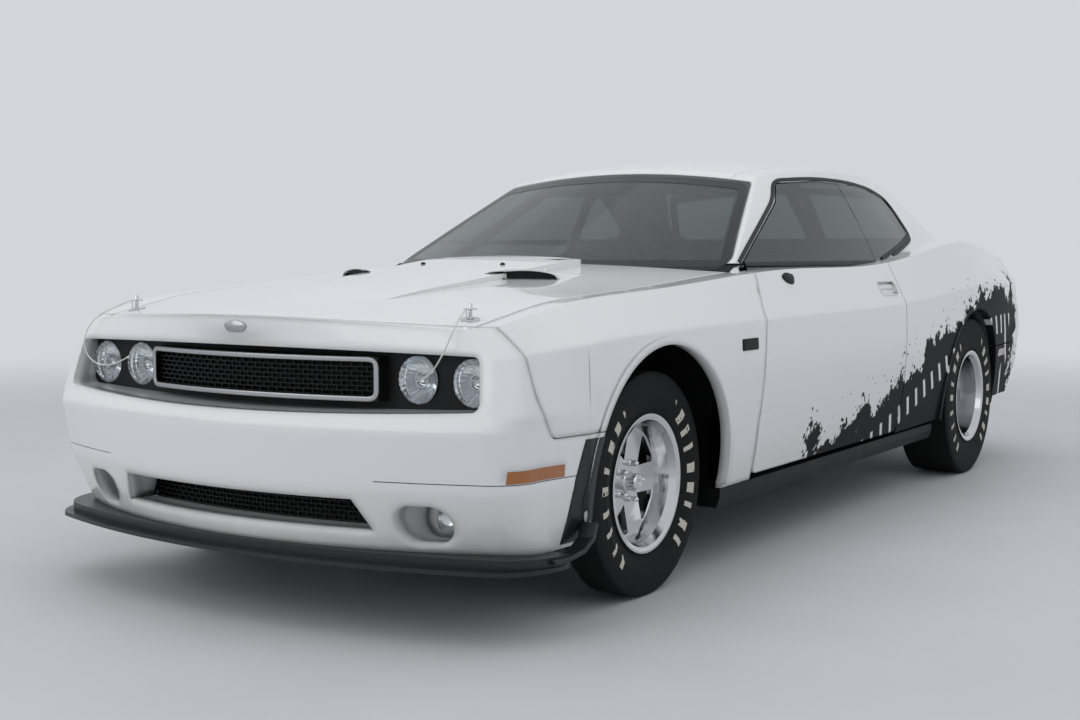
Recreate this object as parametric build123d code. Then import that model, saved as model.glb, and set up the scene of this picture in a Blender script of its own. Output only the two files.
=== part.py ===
"""A two-door drag coupe: unibody shell, opening panels, running gear and cabin.

Millimetres. +X is forward, +Y is the car's left, +Z is up. The origin is on the
ground, in the middle of the car's length and width. Left pieces are modelled and
right ones are their mirror images.
"""
import functools
import math
import os

from build123d import *

# Overall sizes
NOSE_X = 2511.0
TAIL_X = -2511.0
FRONT_AXLE_X = 1566.0
WHEELBASE = 2946.0
REAR_AXLE_X = FRONT_AXLE_X - WHEELBASE

# Wheels and tyres
FRONT_TYRE_R = 336.0
FRONT_TYRE_WIDTH = 124.0
FRONT_TRACK_Y = 792.0
REAR_TYRE_R = 356.0
REAR_TYRE_WIDTH = 228.0
REAR_TRACK_Y = 812.0
RIM_R = 208.0
RIM_WALL = 6.0
SPOKES = 5
WINDOW_CENTRE_R = 112.0
HUB_BORE_R = 26.0
RUNNING_CLEARANCE = 0.3

# Steering
KINGPIN_Y = 707.0
BALL_JOINT_HALF_HEIGHT = 118.0
BALL_CENTRE_HEIGHT = 154.0
STEER_WHEEL_R = 175.0
STEER_WHEEL_CENTRE = (420.0, 370.0, 850.0)
STEER_COLUMN_TILT = 24.0

# Panels and gaps
SKIN = 30.0
PANEL_GAP = 6.0
HOOD_GAP = 7.0
SEAT_GAP = 0.3
GLASS = 6.0
DOOR_SKIN = 24.0
DOOR_DEPTH_Y = 832.0
LIP_PROUD = 6.0
LIP_WIDTH = 24.0

# Wheel openings
FRONT_ARCH_X = FRONT_AXLE_X + 10.0
REAR_ARCH_X = REAR_AXLE_X + 10.0
ARCH_Z = 345.0
FRONT_ARCH_R = 408.0
REAR_ARCH_R = 412.0

# Doors
DOOR_FRONT_X = 926.0
DOOR_REAR_X = -424.0
DOOR_BOTTOM_Z = 290.0
DOOR_FRONT_GAP = 8.0
DOOR_REAR_GAP = 6.0
DOOR_FLANGE = 24.0
DOOR_HINGE_X = DOOR_FRONT_X - 60.0
DOOR_HINGE_Y = 919.0
DOOR_HINGE_ZS = (500.0, 740.0)
HINGE_PIN_R = 4.0
HINGE_BARREL_R = 7.0
HINGE_LENGTH = 22.0
HINGE_REACH = 110.0
HINGE_BAR = 14.0
HINGE_PAD_X = 945.0
HINGE_PAD_Y = 840.0
DOOR_BOX_FRONT = 30.0

# Hood and decklid
HOOD_HALF_FRONT = 692.0
HOOD_HALF_REAR = 748.0
HOOD_FRONT_CORNER_X = 2236.0
HOOD_FRONT_X = 2396.0
HOOD_REAR_CORNER_X = 852.0
HOOD_REAR_X = 985.0
HOOD_HINGE_X = 850.0
HOOD_HINGE_Y = 705.0
HOOD_HINGE_Z = 915.0
HOOD_SKIN = 24.0
HOOD_EAR_REACH = 54.0
HOOD_EAR_RISER = 32.0
HOOD_ROOM = (780.0, 1000.0)
HINGE_POCKET = (818.0, 1000.0, 672.0, 790.0)
HINGE_POCKET_TOP = 942.0
DECK_FRONT_X = -1735.0
DECK_FRONT_CORNER_X = -1728.0
DECK_REAR_X = -2424.0
DECK_REAR_CORNER_X = -2330.0
DECK_HALF_FRONT = 660.0
DECK_HALF_REAR = 640.0
DECK_GAP = 9.0
DECK_SHEET = 10.0
DECK_STIFFENER = 26.0
DECK_STIFFENER_INSET = 60.0
DECK_HINGE_X = -1880.0
DECK_HINGE_Y = 500.0
DECK_HINGE_Z = 1012.0
DECK_BRACKET_Z = 850.0
DECK_WEB_REACH = 30.0
LID_PIN_R = 5.0
LID_LUG_R = 10.0
LID_EAR = 12.0
LID_EAR_GAP = 5.0

# Where the lofted side body meets the nose and the tail
NOSE_JOIN_X = FRONT_AXLE_X + 444.0
TAIL_JOIN_X = REAR_AXLE_X - 520.0

# Side body. Each row is one cross-section, and its columns are
# x, sill (y, z), widest low point (y, z), crease (y, z), shoulder peak (y, z),
# panel cut (y, z) and the height z over the centre line.
BODY_SECTIONS = [
    (NOSE_JOIN_X, (872, 250), (905, 480), (903, 772), (790, 870), (712, 867), 893),
    (FRONT_AXLE_X, (885, 265), (915, 480), (916, 789), (815, 906), (730, 903), 935),
    (DOOR_FRONT_X, (893, 274), (930, 475), (935, 798), (850, 946), (762, 946), 985),
    (250.0, (898, 278), (933, 478), (938, 802), (856, 962), (780, 966), 990),
    (DOOR_REAR_X, (902, 282), (937, 482), (942, 812), (862, 976), (790, 980), 1000),
    (REAR_AXLE_X + 380.0, (909, 290), (943, 500), (948, 842), (868, 1036), (790, 1040), 1050),
    (REAR_AXLE_X, (909, 300), (945, 520), (951, 866), (861, 1064), (780, 1066), 1072),
    (TAIL_JOIN_X, (884, 320), (922, 560), (932, 862), (818, 1030), (730, 1034), 1046),
]

# Nose. Each row is one level outline: height z, x on the centre line, corner (x, y),
# side start (x, y). The level slopes with x where a drop per metre is given.
NOSE_LEVELS = [
    (232.0, 2425, (2232, 800), (2110, 862), 0),
    (400.0, 2484, (2330, 775), (2190, 868), 0),
    (562.0, NOSE_X, (2366, 768), (2215, 868), 0),
    (598.0, 2470, (2322, 822), (2215, 872), 0),
    (772.0, 2402, (2292, 790), (2190, 842), 95),
    (905.0, 2412, (2246, 690), (2170, 722), 95),
]
# Height of the hood's surface over the nose: x, cut (y, z) and centre z.
NOSE_TOP = [
    (NOSE_JOIN_X, (712, 867), 893),
    (2250.0, (700, 824), 868),
    (2560.0, (680, 768), 826),
]

# Tail, in the same columns as the nose.
TAIL_LEVELS = [
    (310.0, -2390, (-2290, 770), (-2120, 868), 0),
    (470.0, -2478, (-2370, 780), (-2180, 900), 0),
    (640.0, TAIL_X, (-2400, 790), (-2200, 908), 0),
    (720.0, -2492, (-2385, 790), (-2200, 904), 0),
    (862.0, -2462, (-2350, 780), (-2180, 892), 0),
    (1060.0, -2440, (-2330, 690), (-2170, 768), 0),
]
TAIL_TOP = [
    (TAIL_JOIN_X, (730, 1034), 1046),
    (-2200.0, (720, 982), 1000),
    (-2560.0, (700, 905), 925),
]

# Greenhouse. Each row is one level outline: height z, windshield centre x, windshield
# corner (x, y), side middle (x, y), rear corner (x, y), rear glass centre x.
CABIN_LEVELS = [
    (880.0, 1122, (916, 776), (-195, 843), (-1706, 811), -1790),
    (905.0, 1076, (872, 764), (-195, 832), (-1672, 800), -1755),
    (1130.0, 640, (478, 652), (-240, 724), (-1365, 695), -1440),
    (1330.0, 240, (122, 530), (-300, 602), (-1085, 580), -1150),
    (1450.0, -10, (-95, 450), (-330, 522), (-920, 500), -990),
]
# Roof crown: x, centre z and the drop at 600 mm from the centre line.
ROOF_CROWN = [
    (1120.0, 1080, 60),
    (620.0, 1226, 64),
    (120.0, 1364, 62),
    (-420.0, 1410, 62),
    (-900.0, 1392, 62),
    (-1400.0, 1282, 62),
    (-1860.0, 1130, 60),
]
CABIN_WALL = 34.0


def leave(node, shape):
    """Write one sub-part to its STEP file."""
    shape.label = node
    export_step(shape, f"parts/{node}.step")


def flip(shape):
    """The same piece on the car's other side."""
    return mirror(shape, about=Plane.XZ)


def both(shape):
    """A left piece and its mirror image, as one node of two solids."""
    return Compound(children=list(shape.solids()) + list(flip(shape).solids()))


def line(a, b):
    return Edge.make_line(Vector(*a), Vector(*b))


def arc(a, b, c):
    return Edge.make_three_point_arc(Vector(*a), Vector(*b), Vector(*c))


def box(x0, x1, y0, y1, z0, z1):
    """A block between two corners."""
    size = (x1 - x0, y1 - y0, z1 - z0)
    return Pos((x0 + x1) / 2, (y0 + y1) / 2, (z0 + z1) / 2) * Box(*size)


def rod(a, b, radius):
    """A round bar from point a to point b."""
    a, b = Vector(*a), Vector(*b)
    return Solid.make_cylinder(radius, (b - a).length, Plane(a, z_dir=b - a))


def side_face(points):
    """A face at y = 0 over an outline of (x, z) points or (x, z, corner radius)."""
    corners = [p for p in points if len(p) > 2]
    face = Face(Wire.make_polygon([(p[0], 0, p[1]) for p in points]))
    for x, z, radius in corners:
        near = min(face.vertices(), key=lambda v: abs(v.X - x) + abs(v.Z - z))
        face = face.fillet_2d(radius, [near])
    return face


def side_prism(points, y0, y1):
    """A prism along Y over an outline of (x, z) points or (x, z, corner radius)."""
    return Pos(0, y0, 0) * extrude(side_face(points), y1 - y0, dir=(0, 1, 0))


def plan_prism(edges, z0, z1):
    """A prism along Z over a closed outline of edges drawn at z = 0."""
    return Pos(0, 0, z0) * extrude(Face(Wire(edges)), z1 - z0, dir=(0, 0, 1))


def side_y(section, z):
    """Half width at height z, on the arc through a section's three side points."""
    (y1, z1), (y2, z2), (y3, z3) = section[1], section[2], section[3]
    circle = arc((0, y1, z1), (0, y2, z2), (0, y3, z3))
    centre, radius = circle.arc_center, circle.radius
    if z > z3:
        (y4, z4) = section[4]
        return y3 + (y4 - y3) * (z - z3) / (z4 - z3)
    return centre.Y + math.sqrt(radius ** 2 - (z - centre.Z) ** 2)


def section_wire(section, inset):
    """One cross-section, moved inwards by inset and open further down."""
    x, sill, low, crease, peak, cut, top = section
    drop = 60.0 if inset else 0.0
    ys, zs = sill[0] - inset, sill[1] - drop
    yl, zl = low[0] - inset, low[1]
    yc, zc = crease[0] - inset, crease[1] - inset * 0.3
    yp, zp = peak[0] - inset * 0.8, peak[1] - inset
    yk, zk = cut[0], cut[1] - inset
    return Wire([
        line((x, -ys, zs), (x, ys, zs)),
        arc((x, ys, zs), (x, yl, zl), (x, yc, zc)),
        line((x, yc, zc), (x, yp, zp)),
        line((x, yp, zp), (x, yk, zk)),
        arc((x, yk, zk), (x, 0, top - inset), (x, -yk, zk)),
        line((x, -yk, zk), (x, -yp, zp)),
        line((x, -yp, zp), (x, -yc, zc)),
        arc((x, -yc, zc), (x, -yl, zl), (x, -ys, zs)),
    ])


def level_wire(level, join, section, inset):
    """One outline of the nose or tail, from the join round the end and back."""
    z, x_mid, corner, side, slope = level
    way = 1.0 if x_mid > join else -1.0
    y_join = side_y(section, z) - inset
    xm = x_mid - way * inset
    xc, yc = corner[0] - way * inset, corner[1] - inset * 0.4
    xs, ys = side[0] - way * inset * 0.3, side[1] - inset

    def at(x, y):
        return (x, y, z - slope * (x - join) / 1000.0)

    bulge = 0.16 * math.hypot(xc - xs, yc - ys)
    mid = ((xc + xs) / 2 + way * bulge * 0.8, (yc + ys) / 2 + bulge * 0.8)
    return Wire([
        line(at(join, -y_join), at(join, y_join)),
        line(at(join, y_join), at(xs, ys)),
        arc(at(xs, ys), at(*mid), at(xc, yc)),
        arc(at(xc, yc), at(xm, 0), at(xc, -yc)),
        arc(at(xc, -yc), at(mid[0], -mid[1]), at(xs, -ys)),
        line(at(xs, -ys), at(join, -y_join)),
    ])


def top_body(rows, inset):
    """All that lies under the hood's or deck's surface beyond a join."""
    wires = []
    for x, (y, z), top in rows:
        wires.append(Wire([
            line((x, -1100, 0), (x, 1100, 0)),
            line((x, 1100, 0), (x, 1100, z + 16 - inset)),
            line((x, 1100, z + 16 - inset), (x, y, z - inset)),
            arc((x, y, z - inset), (x, 0, top - inset), (x, -y, z - inset)),
            line((x, -y, z - inset), (x, -1100, z + 16 - inset)),
            line((x, -1100, z + 16 - inset), (x, -1100, 0)),
        ]))
    return Solid.make_loft(wires, True)


def lower_body(inset):
    """The whole body below the glass as one solid, moved inwards by inset."""
    middle = Solid.make_loft([section_wire(s, inset) for s in BODY_SECTIONS], False)
    nose = Solid.make_loft(
        [level_wire(v, NOSE_JOIN_X, BODY_SECTIONS[0], inset) for v in NOSE_LEVELS], True)
    tail = Solid.make_loft(
        [level_wire(v, TAIL_JOIN_X, BODY_SECTIONS[-1], inset) for v in TAIL_LEVELS], True)
    nose = nose & top_body(NOSE_TOP, inset)
    tail = tail & top_body(TAIL_TOP, inset)
    return middle, nose, tail


@functools.cache
def cabin_body(inset):
    """The closed shape of the glass house, moved inwards by inset."""
    wires = []
    for z, xf, front, side, rear, xr in CABIN_LEVELS:
        f = (front[0] - inset * 1.3, front[1] - inset)
        r = (rear[0] + inset * 1.3, rear[1] - inset)
        wires.append(Wire([
            arc((f[0], -f[1], z), (xf - inset * 1.9, 0, z), (f[0], f[1], z)),
            arc((f[0], f[1], z), (side[0], side[1] - inset, z), (r[0], r[1], z)),
            arc((r[0], r[1], z), (xr + inset * 1.7, 0, z), (r[0], -r[1], z)),
            arc((r[0], -r[1], z), (side[0], -side[1] + inset, z), (f[0], -f[1], z)),
        ]))
    walls = Solid.make_loft(wires, False)
    crowns = []
    for x, top, drop in ROOF_CROWN:
        crowns.append(Wire([
            line((x, -600, 600), (x, 600, 600)),
            line((x, 600, 600), (x, 1000, 600)),
            line((x, 1000, 600), (x, 1000, top - drop * 2.78 - inset)),
            arc((x, 1000, top - drop * 2.78 - inset), (x, 0, top - inset),
                (x, -1000, top - drop * 2.78 - inset)),
            line((x, -1000, top - drop * 2.78 - inset), (x, -1000, 600)),
            line((x, -1000, 600), (x, -600, 600)),
        ]))
    return walls & Solid.make_loft(crowns, False)


# Side view lines as (x, z) or (x, z, corner radius)
FENDER_SEAM = [(2262, 960), (2224, 770), (2214, 690), (2186, 600), (2150, 536, 30), (1560, 536)]
DOOR_FRONT_EDGE = [
    (DOOR_FRONT_X + 22, DOOR_BOTTOM_Z, 30),
    (DOOR_FRONT_X + 36, 470, 200),
    (DOOR_FRONT_X, 800, 200),
    (DOOR_FRONT_X - 62, 900, 60),
    (DOOR_FRONT_X - 104, 972),
]
TAIL_SEAM = [(-2700, 724), (-2228, 724, 30), (-2170, 640, 60), (-2090, 566, 40), (-1400, 566)]

# Window openings in side view and in end view
SIDE_GLASS = [
    (735, 962), (540, 1052, 300), (190, 1208, 120), (80, 1286, 60), (-240, 1306, 300),
    (-570, 1300, 300), (-800, 1278, 200), (-950, 1240, 60), (-1010, 1085, 30), (-900, 1058, 200),
    (-560, 990, 200), (-424, 966),
]
GLASS_SPLIT_X = -440.0
WINDSHIELD = [(728, 962), (546, 1284)]
WINDSHIELD_TOP_Z = 1326.0
WINDOW_CORNER_R = 30.0
REAR_WINDOW = [(690, 1040), (540, 1296)]
REAR_WINDOW_TOP_Z = 1330.0
ROOF_FRONT = (-100.0, 520.0)
ROOF_REAR = (-900.0, 520.0)
QUARTER_INNER_Y = 700.0
LAMP_BAND_Y = 700.0

# Tail
SHELF_PANEL_REAR_X = -1850.0
TAIL_LAMP_Y = 640.0
TAIL_LAMP_Z = (790.0, 872.0)
TAIL_LAMP_DEPTH = 40.0
TAIL_PIPE_Y = 520.0
TAIL_PIPE_R = 38.0

# Underbody and cabin
FLOOR_Z = 235.0
FLOOR_HALF = 800.0
FLOOR_THICK = 8.0
FIREWALL_X = 1045.0
REAR_BULKHEAD_X = -960.0
TRUNK_Z = 540.0
TRUNK_REAR_X = -2330.0
TUB_INNER_Y = 672.0
LINER_INNER_Y = 545.0
LINER_GAP = 8.0
LINER_THICK = 4.0
RAIL_Y = 440.0
RAIL_WIDTH = 60.0
SILL_Z = 205.0
SILL_TOP_Z = 268.0
SILL_WEB = 21.0
SILL_WEB_Z = 480.0
POST_X = 962.0
POST_OUTER_Y = 876.0
RAIL_Z = 255.0
RAIL_TOP_Z = 345.0
RAIL_FRONT_X = 2230.0
SHELF_Z = 800.0
SHELF_FRONT_X = 2212.0
FIREWALL_TOP_Z = 880.0
POST_WIDTH = 50.0
CAGE_R = 21.0
SEAT_Y = 385.0
TUBE_WALL = 3.0
TUNNEL_HALF = 150.0
TUNNEL_Z = 400.0
COWL_HALF = 735.0
COWL_REAR_X = 740.0
COWL_Z = 893.0
DOOR_BOX_TOP_Z = 905.0
DOOR_TOP_INNER_Y = 770.0
GLASS_EDGE = 0.3
DOOR_GLASS_GAP = 5.0
HANDLE = (-385.0, 852.0, 170.0, 46.0)
HANDLE_DEPTH = 14.0

# Running gear
FRONT_RIM_WIDTH = 104.0
FRONT_FACE_DEPTH = 70.0
REAR_RIM_WIDTH = 224.0
REAR_FACE_DEPTH = 150.0
SPOKE_THICK = 16.0
STUD_CIRCLE_R = 57.0
STUD_R = 6.5
BEAD_R = 190.0
BEAD_RISE = 6.0
BEAD_SEAT = 22.0
BEAD_WIDTH = 14.0
RIM_FLANGE = 8.0
DISC_R = 138.0
DISC_THICK = 8.0
DISC_HAT_R = 62.0
DISC_HAT = 8.0
HUB_PAD = 12.0
SPINDLE_LENGTH = 56.0
FRONT_WHEEL = (FRONT_AXLE_X, FRONT_TRACK_Y, FRONT_TYRE_R)
REAR_WHEEL = (REAR_AXLE_X, REAR_TRACK_Y, REAR_TYRE_R)
HUB_BACK_Y = FRONT_TRACK_Y + FRONT_RIM_WIDTH / 2 - FRONT_FACE_DEPTH - SPOKE_THICK - HUB_PAD
DISC_BACK_Y = HUB_BACK_Y - DISC_HAT - DISC_THICK
# One wheel window, pointing outwards, as (along the spoke's radius, across)
WHEEL_WINDOW = [(-42, 0), (34, -52), (44, -40), (44, 40), (34, 52)]
UPRIGHT_INNER_Y = 692.0
UPRIGHT_OUTER_Y = 722.0
ARM_R = 14.0
ARM_SPREAD = 150.0
UPPER_ARM_SPREAD = 110.0
DAMPER_Y = 605.0
DAMPER_R = 32.0
STUD_SOCKET_R = 9.0
AXLE_TUBE_R = 38.0
DIFF_R = 135.0
ENGINE = (1130.0, 1740.0, 320.0, 300.0, 800.0)
CAGE_HOOP_X = -360.0
CAGE_FOOT_Y = 640.0
CAGE_TOP_Y = 505.0
CAGE_TOP_Z = 1285.0
CAGE_FRONT_X = 820.0
CORD_D = 4.0
CORD_ARC_SHARE = 0.45
LANYARD_LEFT = [
    (2208, 642, 871), (2240, 654, 858), (2280, 668, 842), (2319, 681, 818), (2344, 680, 782),
    (2354, 662, 742), (2350, 632, 708), (2334, 592, 690), (2312, 552, 682),
]
LANYARD_RIGHT = [
    (2208, -642, 871), (2240, -656, 858), (2279, -671, 841), (2317, -686, 817), (2342, -695, 782),
    (2352, -698, 738), (2352, -676, 700), (2352, -636, 680), (2350, -590, 679),
    (2344, -548, 690), (2334, -515, 708),
]
HOOD_PIN = (2187.0, 642.0)
HOOD_PIN_TOP = 884.0
HOOD_POST_R = 5.0
HOOD_POST_GAP = 5.5
HOOD_PLATE_R = 26.0
HOOD_PLATE_THICK = 3.0
HOOD_CLIP_Z = 871.0
CLIP_WIRE_R = 1.6
MARKER_FRONT = (2100.0, 2300.0, 430.0, 463.0)
MARKER_REAR = (-1980.0, -1820.0, 510.0, 545.0)
LINK_Y = 480.0
REAR_DAMPER_Y = 570.0
DASH_HALF = 590.0
STEER_HUB_DEPTH = 46.0
SEAT_FRONT_X = 330.0
SEAT_HALF = 170.0
BOLSTER_WIDTH = 60.0
RUNNER_WIDTH = 30.0
# Seat in side view as (x, height over the floor or z, corner radius)
SEAT_SHELL = [(330, 90), (330, 190, 40), (-60, 150, 60), (-170, 766.7, 20), (-235, 766.7, 20),
              (-190, 90, 30)]
SEAT_BOLSTER = [(300, 90), (300, 240, 40), (60, 270, 90), (-90, 656.7, 60), (-235, 686.7, 20),
                (-190, 90, 30)]
# Dashboard in side view as (x behind the firewall, z, corner radius)
DASH_PROFILE = [(0, 640), (0, 872), (-230, 872, 20), (-400, 828, 40), (-420, 760, 30),
                (-300, 660, 40)]

# Hood's raised centre: x, half width, centre z
HOOD_BULGE = [(2240.0, 250, 868), (1900.0, 290, 921), (1140.0, 330, 1004), (1075.0, 335, 1008)]
SCOOP_X = 1060.0
SCOOP_LENGTH = 90.0
SCOOP_Y = 180.0
SCOOP_HALF = 95.0
SCOOP_Z = 985.0
SCOOP_HEIGHT = 12.0

# Nose openings in end view, as (half width, z)
RECESS_UPPER = (752.0, 753.0)
RECESS_LOWER = (775.0, 613.0)
RECESS_TOP_Z = 765.0
RECESS_BOTTOM_Z = 594.0
RECESS_CORNER_R = 22.0
RECESS_BACK_X = 2225.0
FASCIA_WALL = 5.0
MOUTH_TOP = (426.0, 374.0)
MOUTH_BOTTOM = (466.0, 287.0)
MOUTH_BACK_X = 2290.0
FOG_CENTRE = (607.0, 312.0)
FOG_WIDTH = 152.0
FOG_HEIGHT = 104.0
FOG_BACK_X = 2230.0
FOG_OFFSET = 22.0
FOG_R = 42.0
LAMP_PANEL_X = 2290.0
LAMP_PANEL_BOW = 6700.0
LAMP_PANEL_THICK = 20.0
HEADLAMPS = [(698.0, 680.0), (528.0, 682.0)]
HEADLAMP_R = 62.0
GRILLE_TOP = (430.0, 742.0)
GRILLE_BOTTOM = (430.0, 622.0)
GRILLE_FRAME = 14.0
GRILLE_X = 2377.0
GRILLE_BOW = 1500.0
GRILLE_DEPTH = 34.0
# Grille mesh: rows of cells, each row half a cell further over than the row below it
MESH_PITCH_Y = 30.0
MESH_PITCH_Z = 13.0
MESH_BAR = 3.2
MESH_THICK = 10.0
MESH_SETBACK = 14.0
MESH_BORDER = 4.0
MOUTH_MESH_X = 2350.0
MOUTH_MESH_BOW = 2000.0
# Chin blade in plan: the tip, then how far the end's bend and corner lie ahead and inwards
SPLITTER_TIP = (2126.0, 917.0)
SPLITTER_BEND = (120.0, 20.0)
SPLITTER_CORNER = (210.0, 96.0)
SPLITTER_X = 2476.0
RISER_SETBACK = 34.0
RISER_INNER_TIP = (-10.0, 100.0)
RISER_INNER_CORNER = (150.0, 150.0)
RISER_INNER_X = 2386.0
SPLITTER_Z = 194.0
SPLITTER_THICK = 12.0
CHIN_TOP_Z = 232.0


def shifted(points, dx, dz):
    """An outline's points moved by dx and dz, with the same corner radii."""
    return [(p[0] + dx, p[1] + dz) + tuple(p[2:]) for p in points]


def hood_plan(grow):
    """The hood's outline in plan, grown by a gap."""
    f, r = HOOD_HALF_FRONT + grow, HOOD_HALF_REAR + grow
    fx, rx = HOOD_FRONT_CORNER_X + grow, HOOD_REAR_CORNER_X - grow
    return [
        arc((fx, -f, 0), (HOOD_FRONT_X + grow, 0, 0), (fx, f, 0)),
        line((fx, f, 0), (rx, r, 0)),
        arc((rx, r, 0), (HOOD_REAR_X - grow, 0, 0), (rx, -r, 0)),
        line((rx, -r, 0), (fx, -f, 0)),
    ]


def deck_plan(grow):
    """The decklid's outline in plan, grown by a gap."""
    f, r = DECK_HALF_FRONT + grow, DECK_HALF_REAR + grow
    fx, rx = DECK_FRONT_CORNER_X + grow, DECK_REAR_CORNER_X - grow
    return [
        arc((fx, -f, 0), (DECK_FRONT_X + grow, 0, 0), (fx, f, 0)),
        line((fx, f, 0), (rx, r, 0)),
        arc((rx, r, 0), (DECK_REAR_X - grow, 0, 0), (rx, -r, 0)),
        line((rx, -r, 0), (fx, -f, 0)),
    ]


@functools.cache
def fused_body(inset):
    """The body below the glass as one solid, moved inwards by inset."""
    middle, nose, tail = lower_body(inset)
    return middle + nose + tail


OUTER = fused_body(0.0)
INNER = fused_body(SKIN)
SHELL = OUTER - INNER
CABIN = cabin_body(0.0)
CABIN_INNER = cabin_body(CABIN_WALL)
HOOD_HOLE = plan_prism(hood_plan(HOOD_GAP), 500, 1300)
DECK_HOLE = plan_prism(deck_plan(DECK_GAP), 760, 1300)
HALF = box(-3000, 3000, 1, 1500, -100, 2000)
SEAT_BODY = fused_body(SKIN + SEAT_GAP)


def across(x, radius, y0, y1, z=ARCH_Z):
    """A cylinder along Y."""
    return rod((x, y0, z), (x, y1, z), radius)


def arch_cut(x, radius):
    return across(x, radius, 500, 1200) + box(x - radius, x + radius, 500, 1200, 0, ARCH_Z)


def arch_lip(x, radius, section_span):
    """The rolled edge round a wheel opening, proud of the skin."""
    wires = [section_wire(s, -LIP_PROUD) for s in section_span]
    proud = Solid.make_loft(wires, False) - INNER
    ring = across(x, radius + LIP_WIDTH, 700, 1200) - across(x, radius, 690, 1210)
    return (proud & ring) & box(x - 700, x + 700, 700, 1200, 285, 1000)


def hood_corner_room():
    """The room behind the hood's rear corner, along its side edge, that its swing needs."""
    x0, x1 = HOOD_ROOM
    rear = (HOOD_REAR_CORNER_X - HOOD_GAP, HOOD_HALF_REAR + HOOD_GAP)
    front = (HOOD_FRONT_CORNER_X + HOOD_GAP, HOOD_HALF_FRONT + HOOD_GAP)
    slope = (front[1] - rear[1]) / (front[0] - rear[0])
    corners = [(x0, 400), (x1, 400), (x1, rear[1] + slope * (x1 - rear[0])),
               (x0, rear[1] + slope * (x0 - rear[0]))]
    return extrude(Pos(0, 0, SHELF_Z) * Face(Wire.make_polygon([(*p, 0) for p in corners])),
                   400, dir=(0, 0, 1))


def fender():
    """Front side panel, between the nose, the hood, the arch and the door."""
    rear = shifted(DOOR_FRONT_EDGE, DOOR_FRONT_GAP, 0)
    region = FENDER_SEAM[:-1] + [(1560, 536), (1560, 200)] + [(rear[0][0], 200)] + rear[1:]
    region = region + [(rear[-1][0], 1100), (2262, 1100)]
    panel = (SHELL & side_prism(region, 560, 1100)) - HOOD_HOLE - CABIN
    panel = panel - arch_cut(FRONT_ARCH_X, FRONT_ARCH_R) - hood_corner_room()
    lip = arch_lip(FRONT_ARCH_X, FRONT_ARCH_R, BODY_SECTIONS[0:3])
    return panel + (lip & side_prism(region, 560, 1100))


def front_recess():
    """The dark opening that holds the lamps and the grille, in end view."""
    (yu, zu), (yl, zl) = RECESS_UPPER, RECESS_LOWER
    face = Face(Wire([
        arc((0, -yu, zu), (0, 0, RECESS_TOP_Z), (0, yu, zu)),
        line((0, yu, zu), (0, yl, zl)),
        arc((0, yl, zl), (0, 0, RECESS_BOTTOM_Z), (0, -yl, zl)),
        line((0, -yl, zl), (0, -yu, zu)),
    ]))
    return face.fillet_2d(RECESS_CORNER_R, face.vertices())


def end_prism(face, x0, x1, grow=0.0):
    """A prism along X over a face drawn at x = 0, grown or shrunk by a gap."""
    if grow:
        face = Face(offset(face, grow, kind=Kind.INTERSECTION).face().outer_wire())
    return Pos(x0, 0, 0) * extrude(face, x1 - x0, dir=(1, 0, 0))


def bowed_slab(x_mid, radius, thick, half, z0, z1):
    """A slab that bows back from the centre line on a large radius."""
    drop = radius - math.sqrt(radius ** 2 - half ** 2)
    return plan_prism([
        arc((x_mid - drop, -half, 0), (x_mid, 0, 0), (x_mid - drop, half, 0)),
        line((x_mid - drop, half, 0), (x_mid - drop - thick, half, 0)),
        arc((x_mid - drop - thick, half, 0), (x_mid - thick, 0, 0),
            (x_mid - drop - thick, -half, 0)),
        line((x_mid - drop - thick, -half, 0), (x_mid - drop, -half, 0)),
    ], z0, z1)


def trapezoid(top, bottom):
    """A face at x = 0 between two (half width, z) edges."""
    return Face(Wire.make_polygon([
        (0, -bottom[0], bottom[1]), (0, bottom[0], bottom[1]),
        (0, top[0], top[1]), (0, -top[0], top[1])]))


def fog_face(grow=0.0):
    """The outline of the left fog lamp's recess at x = 0."""
    y, z = FOG_CENTRE
    plane = Plane((0, y, z), x_dir=(0, 1, 0), z_dir=(1, 0, 0))
    return (plane * RectangleRounded(FOG_WIDTH + 2 * grow, FOG_HEIGHT + 2 * grow,
                                     FOG_HEIGHT / 2 + grow - 1)).face()


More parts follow.
